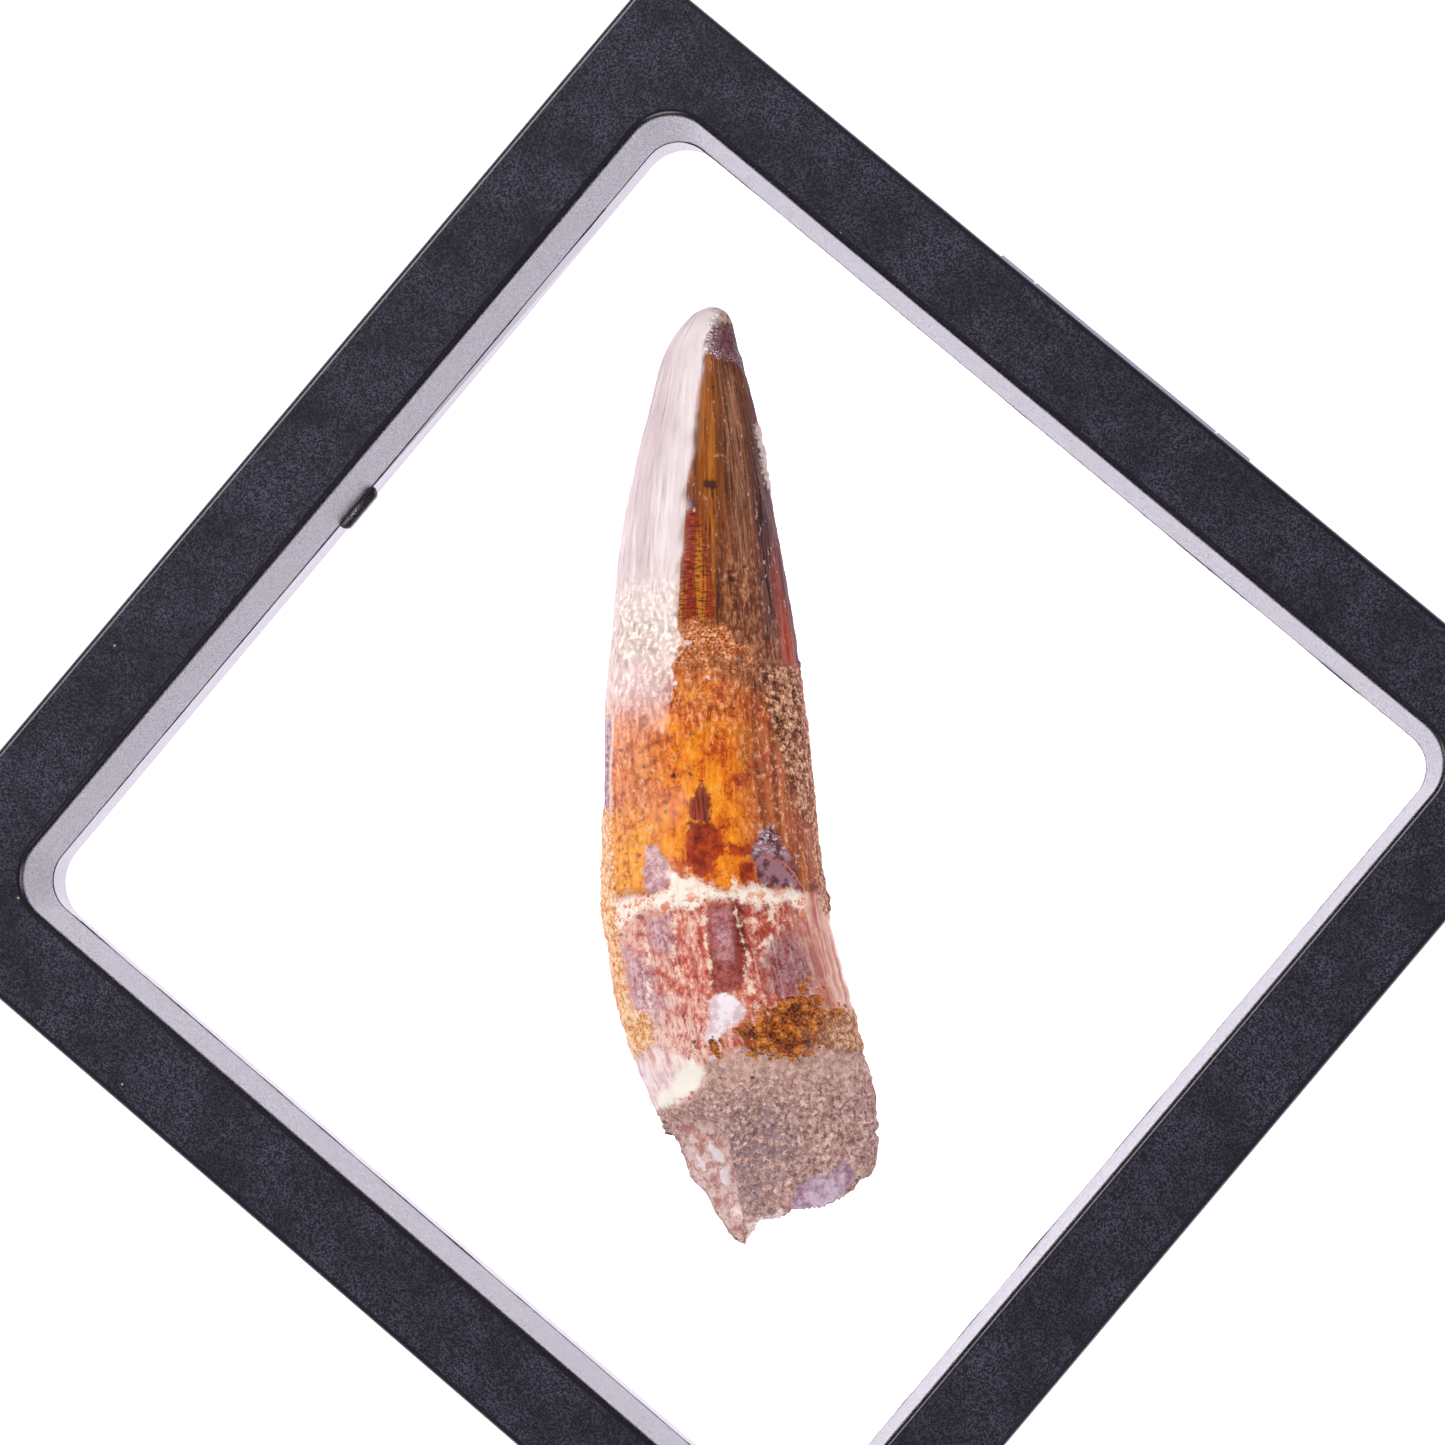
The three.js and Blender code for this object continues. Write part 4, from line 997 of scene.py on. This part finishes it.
def markings(x, y, z, across, half_width):
    """How deep each point lies in each marked area, in millimetres."""
    ahead = z > 0

    def kept(depth, behind=None):
        hidden = np.full(x.shape, -FAR_MM) if behind is None else behind
        return np.clip(np.where(ahead, depth, hidden), -FAR_MM, FAR_MM)

    def drawn(outline, behind=None):
        return kept(signed_distance(x, y, outline), behind)

    def lines(paths, half_size):
        return kept(half_size - np.min([line_distance(x, y, path) for path in paths], axis=0))

    def spots(places):
        return kept(np.max([size - np.hypot(x - sx, y - sy) for sx, sy, size in places], axis=0))

    right_side = (across - 0.55) * half_width
    left_side = (-0.88 - across) * half_width
    crusts = [
        drawn(RIGHT_CRUST_OUTLINE, np.minimum(right_side, 12 - np.abs(y - 41))),
        drawn(LEFT_CRUST_OUTLINE, np.minimum(left_side, 12 - np.abs(y - 28))),
        drawn(SAND_OUTLINE, np.minimum(right_side, 2 - np.abs(y - 19))),
    ]
    low, high = RIGHT_CHIPS_MM
    chips = np.minimum((across - 0.95) * half_width, np.minimum(y - low, high - y))
    return {
        "pale": drawn(PALE_OUTLINE, np.minimum((-0.6 - across) * half_width, y - 47.5)),
        "tip_cap": drawn(TIP_OUTLINE, np.minimum(y - 81.4, (across + 0.5) * half_width)),
        "pink": drawn(PINK_OUTLINE),
        "purple": drawn(PURPLE_OUTLINE, np.minimum(right_side, 9 - np.abs(y - 64))),
        "beads": drawn(BEADS_OUTLINE),
        "scab": drawn(SCAB_OUTLINE),
        "chips": np.clip(chips, -FAR_MM, FAR_MM),
        "crust": np.max(crusts, axis=0),
        "rust": np.maximum(drawn(RUST_OUTLINE), spots(RUST_SPOTS)),
        "chip": np.maximum(drawn(CHIP_OUTLINE), spots(WHITE_SPOTS)),
        "wedge": drawn(WEDGE_OUTLINE),
        "patch": np.max([drawn(outline) for outline in PATCH_OUTLINES], axis=0),
        "left_flake": drawn(LEFT_FLAKE_OUTLINE),
        "right_flake": drawn(RIGHT_FLAKE_OUTLINE),
        "curl": lines([CURL], 0.09),
        "cream": drawn(CREAM_OUTLINE, 1.2 - np.abs(y - 31)),
        "facet": drawn(FACET_OUTLINE),
        "facet_cream": drawn(FACET_CREAM_OUTLINE),
        "lavender": np.max([drawn(outline) for outline in LAVENDER_OUTLINES], axis=0),
        "plum": drawn(PLUM_OUTLINE),
        "column": drawn(COLUMN_OUTLINE),
        "cleft": drawn(CLEFT_OUTLINE),
        "stone": drawn(MATRIX_OUTLINE, 11 - y),
        "dark_stone": drawn(DARK_STONE_OUTLINE, 8 - y),
        "ledge": drawn(LEDGE_OUTLINE),
        "shard": np.max([drawn(outline) for outline in SHARD_OUTLINES], axis=0),
        "fracture": drawn(PURPLE_BREAK_OUTLINE),
        "vein": lines(VEINS, 0.1),
        "spot": spots(DARK_SPOTS),
        "root": np.clip(31.6 - y, -FAR_MM, FAR_MM),
        "glow": np.clip(np.minimum(y - 31.8, 52.2 - 0.55 * np.maximum(x + 1, 0) - y), -FAR_MM, FAR_MM),
        "grey_rim": np.clip(np.minimum((-0.9 - across) * half_width, 4.4 - np.abs(y - 44)), -FAR_MM, FAR_MM),
        "rim_line": np.clip(np.minimum(0.15 - np.abs(-0.89 - across) * half_width, 5 - np.abs(y - 44)), -FAR_MM, FAR_MM),
    }


def grain_height(points, size):
    """Round grains packed over a surface: 1 on a grain's top, 0 in the gaps."""
    nearest = np.array([noise.voronoi(Vector(p))[0][0] for p in points / size])
    return np.clip(1 - nearest / 0.75, 0, 1)


def surface_detail(points, x, y, across, angle, marks):
    """How far each point of the tooth's side stands out from its smooth form, in mm, and its grains' height."""
    inside = {name: step_at(depth, -0.25, 0.25) for name, depth in marks.items()}
    grooves = np.stack([9 * np.cos(angle), 7.4 * np.sin(angle), 0.05 * y], axis=1)
    enamel = step_at(y, 31, 34) * (1 - inside["crust"]) * (1 - inside["tip_cap"])
    detail = 0.12 * sampled(noise.noise, grooves, 0.75) * enamel
    detail += 0.06 * sampled(noise.noise, grooves, 0.33, 9) * enamel
    detail += 0.16 * sampled(noise.noise, points, 5.5, 3)
    detail += 0.07 * sampled(noise.noise, points, 1.1, 5)
    grain = grain_height(points, 0.6)
    bead = grain_height(points, 0.85)
    lumps = 0.5 + 0.5 * sampled(noise.noise, points, 1.4, 8)
    detail += inside["crust"] * (0.05 + 0.4 * grain * lumps)
    detail += inside["rust"] * (0.1 + 0.6 * bead)
    detail += inside["stone"] * (0.42 * grain + 0.4 * sampled(noise.noise, points, 0.9, 4) - 0.38)
    detail += 0.35 * inside["chips"] * grain
    detail += inside["scab"] * (0.22 * grain * lumps)
    detail -= 0.16 * np.maximum(inside["left_flake"], inside["right_flake"])
    detail -= 0.14 * inside["root"] * (1 - inside["cream"])
    detail += 0.09 * inside["cream"] * (1 + sampled(noise.noise, points, 0.6, 2))
    detail += 0.1 * inside["vein"] + 0.18 * inside["chip"] + 0.15 * inside["shard"] + 0.1 * inside["curl"]
    detail -= 0.12 * inside["tip_cap"] * (1 - step_at(y, 83.6, 84.6))
    detail += 0.16 * inside["beads"] * grain
    detail -= 0.8 * inside["ledge"]
    detail -= 0.35 * inside["fracture"]
    detail -= 0.1 * inside["spot"] + 0.25 * inside["cleft"]
    ridge = line_distance(x - RIDGE_SHIFT_MM, y, PALE_OUTLINE[:15])
    detail += RIDGE_MM * np.where(points[:, 2] > 0, np.exp(-(ridge / 0.7) ** 2), 0)
    return detail, np.where(inside["rust"] > 0.5, bead, grain)


def ring_heights():
    base = BREAK_BLEND_MM * np.arange(BREAK_BLEND_RINGS) / BREAK_BLEND_RINGS
    body = BREAK_BLEND_MM + (TIP_START_MM - BREAK_BLEND_MM) * np.arange(BODY_RINGS) / BODY_RINGS
    turn = np.pi / 2 * np.arange(TIP_RINGS) / TIP_RINGS
    tip = TIP_START_MM + (TOOTH_LENGTH_MM - TIP_START_MM) * np.sin(turn)
    return np.concatenate([base, body, tip])


def tooth_points():
    """The tooth's points in its own axes, ring by ring from the middle of the break to the tip, and their marks."""
    angles = 2 * np.pi * np.arange(TOOTH_SIDES) / TOOTH_SIDES
    heights, angle = [a.ravel() for a in np.meshgrid(ring_heights(), angles, indexing="ij")]
    middle, half_width, half_thickness = section_at(heights)
    start = break_height(middle + half_width * np.cos(angle), half_thickness * np.sin(angle))
    lifted = start + heights / BREAK_BLEND_MM * (BREAK_BLEND_MM - start)
    y = np.where(heights < BREAK_BLEND_MM, lifted, heights)
    middle, half_width, half_thickness = section_at(y)
    swell = 1 + relief(y, angle)
    x = middle + swell * half_width * np.cos(angle)
    z = swell * half_thickness * np.sin(angle)
    across = np.cos(angle)
    marks = markings(x, y, z, across, half_width)
    points = np.stack([x, y, z], axis=1)
    out, lump = surface_detail(points, x, y, across, angle, marks)
    fade = np.minimum(half_width / 2.5, 1)
    facing = np.stack([np.cos(angle) * half_thickness, np.sin(angle) * half_width], axis=1)
    facing /= np.linalg.norm(facing, axis=1)[:, None]
    points[:, 0] += facing[:, 0] * out * fade
    points[:, 2] += facing[:, 1] * out * fade

    # The broken end, from its middle out to the rim
    rim = points[:TOOTH_SIDES]
    core = section_at(np.zeros(1))[0][0]
    rings = []
    for ring in range(1, BREAK_RINGS):
        share = ring / BREAK_RINGS
        bx = core + (rim[:, 0] - core) * share
        bz = rim[:, 2] * share
        by = break_height(bx, bz) + PULP_HOLLOW_MM * (1 - share * share)
        rings.append(np.stack([bx, by, bz], axis=1))
    broken = np.concatenate(rings)
    edge = np.repeat(np.arange(1, BREAK_RINGS) / BREAK_RINGS, TOOTH_SIDES)
    rough = 0.55 * sampled(noise.noise, broken, 1.7, 6) + 0.3 * sampled(noise.noise, broken, 0.7, 2)
    broken[:, 1] += rough * (1 - edge ** 6)
    return points, broken, marks, across, angle, lump, core


def grid_faces(rings, count, first):
    faces = []
    for ring in range(rings - 1):
        low, high = first + ring * count, first + (ring + 1) * count
        for side in range(count):
            after = (side + 1) % count
            faces.append((low + side, high + side, high + after, low + after))
    return faces


def tooth_to_frame(points):
    cos, sin = math.cos(TOOTH_TURN), math.sin(TOOTH_TURN)
    x = TOOTH_ROOT_MM[0] + cos * points[:, 0] - sin * points[:, 1]
    y = TOOTH_ROOT_MM[1] + sin * points[:, 0] + cos * points[:, 1] + CENTRE_Y_MM
    return np.stack([x, y, points[:, 2] + SPLIT_MM], axis=1)


def add_values(mesh, name, values, kind="FLOAT"):
    layer = mesh.attributes.new(name, kind, "POINT")
    layer.data.foreach_set("vector" if kind == "FLOAT_VECTOR" else "value", np.ascontiguousarray(values, dtype=np.float32).ravel())


def build_tooth(look):
    side, broken, marks, across, angle, lump, core = tooth_points()
    middle = np.array([[core, break_height(np.array([core]), np.zeros(1))[0] + PULP_HOLLOW_MM, 0]])
    tip_middle = section_at(np.array([TOOTH_LENGTH_MM]))[0][0]
    tip = np.array([[tip_middle, TOOTH_LENGTH_MM, 0]])
    points = np.concatenate([middle, broken, side, tip])
    rings = (len(broken) + len(side)) // TOOTH_SIDES
    faces = grid_faces(rings, TOOTH_SIDES, 1)
    last = len(points) - 1
    top = last - TOOTH_SIDES
    for i in range(TOOTH_SIDES):
        j = (i + 1) % TOOTH_SIDES
        faces.append((0, 1 + i, 1 + j))
        faces.append((last, top + j, top + i))
    piece = make_mesh("fossil_tooth", tooth_to_frame(points), faces, [look], math.radians(180))
    inner = 1 + len(broken)
    outside = {name: -FAR_MM for name in marks}
    outside.update(stone=FAR_MM, root=FAR_MM)
    for name, depth in marks.items():
        add_values(piece.data, name, np.concatenate([np.full(inner, outside[name]), depth, depth[-1:]]))
    streak = np.stack([9 * np.cos(angle), 7.4 * np.sin(angle), 0.06 * side[:, 1]], axis=1)
    add_values(piece.data, "fibre", np.concatenate([points[:inner] * 0.8, streak, streak[-1:]]), "FLOAT_VECTOR")
    add_values(piece.data, "place", points, "FLOAT_VECTOR")
    add_values(piece.data, "height", points[:, 1])
    add_values(piece.data, "across", np.concatenate([np.zeros(inner), across, [0]]))
    add_values(piece.data, "lump", np.concatenate([np.full(inner, 0.5), lump, [0.5]]))
    return piece, tooth_to_frame(points)


# The films

def around(grid, combined):
    """The four neighbours of each cell, added or compared."""
    return combined.reduce([np.roll(grid, way, axis) for axis in (0, 1) for way in (1, -1)])


def settled_film(tooth, side):
    """Heights over the split plane of a film clamped round the window and stretched over the tooth.

    The film bridges the smallest crumbs, so it rests on a widened and softened copy of the tooth.
    """
    size = FILM_CELLS + 1
    pitch = 2 * SPLIT_WINDOW_MM / FILM_CELLS
    held = np.zeros((size, size))
    out = side * (tooth[:, 2] - SPLIT_MM)
    i = np.rint((tooth[:, 0] + SPLIT_WINDOW_MM) / pitch).astype(int)
    j = np.rint((tooth[:, 1] - CENTRE_Y_MM + SPLIT_WINDOW_MM) / pitch).astype(int)
    np.maximum.at(held, (i, j), out)
    wide = np.maximum(held, around(held, np.maximum))
    for _ in range(3):
        wide = (wide + around(wide, np.add) / 4) / 2
    held = np.maximum(held, wide)
    held = np.where(held > 0, held + FILM_CLEAR_MM, 0)
    height = np.zeros((size, size))
    rows, columns = np.indices((size, size))
    inside = (rows > 0) & (rows < size - 1) & (columns > 0) & (columns < size - 1)
    for step in range(2 * FILM_PASSES):
        mean = around(height, np.add) / 4
        moved = np.maximum(height + FILM_OVER_RELAX * (mean - height), held)
        height = np.where(inside & ((rows + columns) % 2 == step % 2), moved, height)
    return height


def film_lines():
    """Which of the fine grid's lines the film's mesh keeps: all of them over the tooth, few beside it."""
    pitch = 2 * SPLIT_WINDOW_MM / FILM_CELLS
    reach = int(FILM_FINE_REACH_MM / pitch)
    middle = FILM_CELLS // 2
    coarse = set(range(0, FILM_CELLS + 1, FILM_COARSE))
    return np.array(sorted(coarse | set(range(middle - reach, middle + reach + 1))))


def build_film(name, side, tooth, look):
    lines = film_lines()
    height = np.pad(settled_film(tooth, side)[np.ix_(lines, lines)], 1)
    size = len(lines) + 2
    steps = SPLIT_WINDOW_MM * (2 * lines / FILM_CELLS - 1)
    edge = SPLIT_WINDOW_MM + FILM_CLAMP_MM
    places = np.concatenate([[-edge], steps, [edge]])
    x, y = np.meshgrid(places, places, indexing="ij")
    layers = []
    for offset in (FILM_GAP_MM, FILM_GAP_MM + FILM_MM):
        z = SPLIT_MM + side * (height + offset)
        layers.append(np.stack([x.ravel(), y.ravel() + CENTRE_Y_MM, z.ravel()], axis=1))
    points = np.concatenate(layers)
    faces = []
    far = size * size

    def quad(a, b, c, d):
        faces.append((a, b, c, d) if side > 0 else (d, c, b, a))

    for i in range(size - 1):
        for j in range(size - 1):
            a, b, c, d = i * size + j, (i + 1) * size + j, (i + 1) * size + j + 1, i * size + j + 1
            quad(far + a, far + b, far + c, far + d)
            quad(d, c, b, a)
    last = size - 1
    for i in range(last):
        a, b = i * size, (i + 1) * size
        quad(a, b, far + b, far + a)
        quad(b + last, a + last, far + a + last, far + b + last)
        quad(i + 1, i, far + i, far + i + 1)
        quad(last * size + i, last * size + i + 1, far + last * size + i + 1, far + last * size + i)
    return make_mesh(name, points, faces, [look], math.radians(60))


def film_edge(look):
    """The ragged dark cut edge of the films, which shows in the joint between the halves."""
    radius = WINDOW_CORNER_MM - DRAFT_MM
    straight = SPLIT_WINDOW_MM - radius
    path = [(SPLIT_WINDOW_MM, offset, 0.0) for offset in np.linspace(-straight, straight, 220)]
    for angle in np.linspace(0, math.pi / 2, 24)[1:-1]:
        path.append((straight + radius * math.cos(angle), straight + radius * math.sin(angle), angle))
    points, faces = [], []
    for turn in range(4):
        cos, sin = math.cos(math.pi / 2 * turn), math.sin(math.pi / 2 * turn)
        for out, offset, angle in path:
            i = len(points) / 4
            ragged = max(0, noise.noise(Vector((i * 0.07, 4.2, 0))))
            proud = 0.03 + 0.12 * ragged + 0.05 * abs(noise.noise(Vector((i * 0.6, 1, 0))))
            for reach, z in ((0.5, -0.04), (-proud, -0.03), (-proud, 0.03), (0.5, 0.04)):
                x, y = out + reach * math.cos(angle), offset + reach * math.sin(angle)
                points.append((x * cos - y * sin, x * sin + y * cos + CENTRE_Y_MM, SPLIT_MM + z))
    count = 4 * len(path)
    for i in range(count):
        j = (i + 1) % count
        for k in range(4):
            m = (k + 1) % 4
            faces.append((4 * i + k, 4 * j + k, 4 * j + m, 4 * i + m))
    return make_mesh("film_edge", points, faces, [look])


# The studio

def build_floor():
    half = FLOOR_SIZE_M / MM / 2
    points = [(-half, -half, -0.02), (half, -half, -0.02), (half, half, -0.02), (-half, half, -0.02)]
    floor = make_mesh("floor", points, [(0, 1, 2, 3)], [floor_look()])


def build_world():
    """Dim surroundings, which the camera sees as a pale backdrop."""
    world = bpy.data.worlds.new("studio")
    bpy.context.scene.world = world
    world.use_nodes = True
    tree = world.node_tree
    seen = tree.nodes.new("ShaderNodeLightPath").outputs["Is Camera Ray"]
    strength = tree.nodes.new("ShaderNodeMapRange")
    strength.inputs["To Min"].default_value = SURROUND
    strength.inputs["To Max"].default_value = BACKDROP
    tree.links.new(seen, strength.inputs["Value"])
    tree.links.new(strength.outputs["Result"], tree.nodes["Background"].inputs["Strength"])
    tree.nodes["Background"].inputs["Color"].default_value = (1.0, 0.985, 1.0, 1.0)


def add_softbox(name, middle_mm, size_mm, radiance, tilted):
    size_x, size_y = size_mm[0] * MM, size_mm[1] * MM
    data = bpy.data.lights.new(name, "AREA")
    data.shape = "RECTANGLE"
    data.size, data.size_y = size_x, size_y
    data.energy = radiance * math.pi * size_x * size_y
    light = bpy.data.objects.new(name, data)
    light.location = metres(middle_mm)
    if tilted:
        light.rotation_euler = (-light.location).to_track_quat("-Z", "Y").to_euler()
    bpy.context.scene.collection.objects.link(light)


def add_camera():
    eye = Vector((CAMERA_MM[0], CAMERA_MM[1] + CENTRE_Y_MM, CAMERA_MM[2] + DEPTH_MM)) * MM
    aim = Vector((AIM_MM[0], AIM_MM[1] + CENTRE_Y_MM, DEPTH_MM)) * MM
    back = (eye - aim).normalized()
    right = Vector((-math.sin(ROLL), math.cos(ROLL), 0)).cross(back).normalized()
    up = back.cross(right)
    camera = bpy.data.objects.new("camera", bpy.data.cameras.new("camera"))
    camera.data.sensor_width = SENSOR_MM
    camera.data.lens = SENSOR_MM * FOCAL_PIXELS / IMAGE_PIXELS
    camera.matrix_world = Matrix.Translation(eye) @ Matrix((right, up, back)).transposed().to_4x4()
    bpy.context.scene.collection.objects.link(camera)
    bpy.context.scene.camera = camera


grained, smooth, polished = grained_plastic(), smooth_plastic(), hinge_plastic()
back_frame = half_frame("frame_back_half", -1, [grained, smooth, polished])
front_frame = half_frame("frame_front_half", 1, [grained, smooth, polished])
add_hinge(back_frame, front_frame, polished)
combine(back_frame, lug(smooth), "UNION")
tooth, tooth_shape = build_tooth(tooth_look())
film = film_look()
back_film = build_film("film_back", -1, tooth_shape, film)
front_film = build_film("film_front", 1, tooth_shape, film)
edge = film_edge(film_edge_look())

for piece, node, body, slot in (
    (back_frame, "back_frame", "back_half", "frame_plastic"),
    (front_frame, "front_frame", "front_half", "frame_plastic"),
    (back_film, "back_film", "back_half", "clear_film"),
    (front_film, "front_film", "front_half", "clear_film"),
    (tooth, "tooth", "back_half", "fossil_tooth"),
):
    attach(piece, body)
    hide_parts(node)
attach(edge, "back_half")

build_floor()
build_world()
for softbox in SOFTBOXES:
    add_softbox(*softbox)
add_camera()
scene = bpy.context.scene
scene.view_settings.view_transform = "Standard"
scene.cycles.use_denoising = True
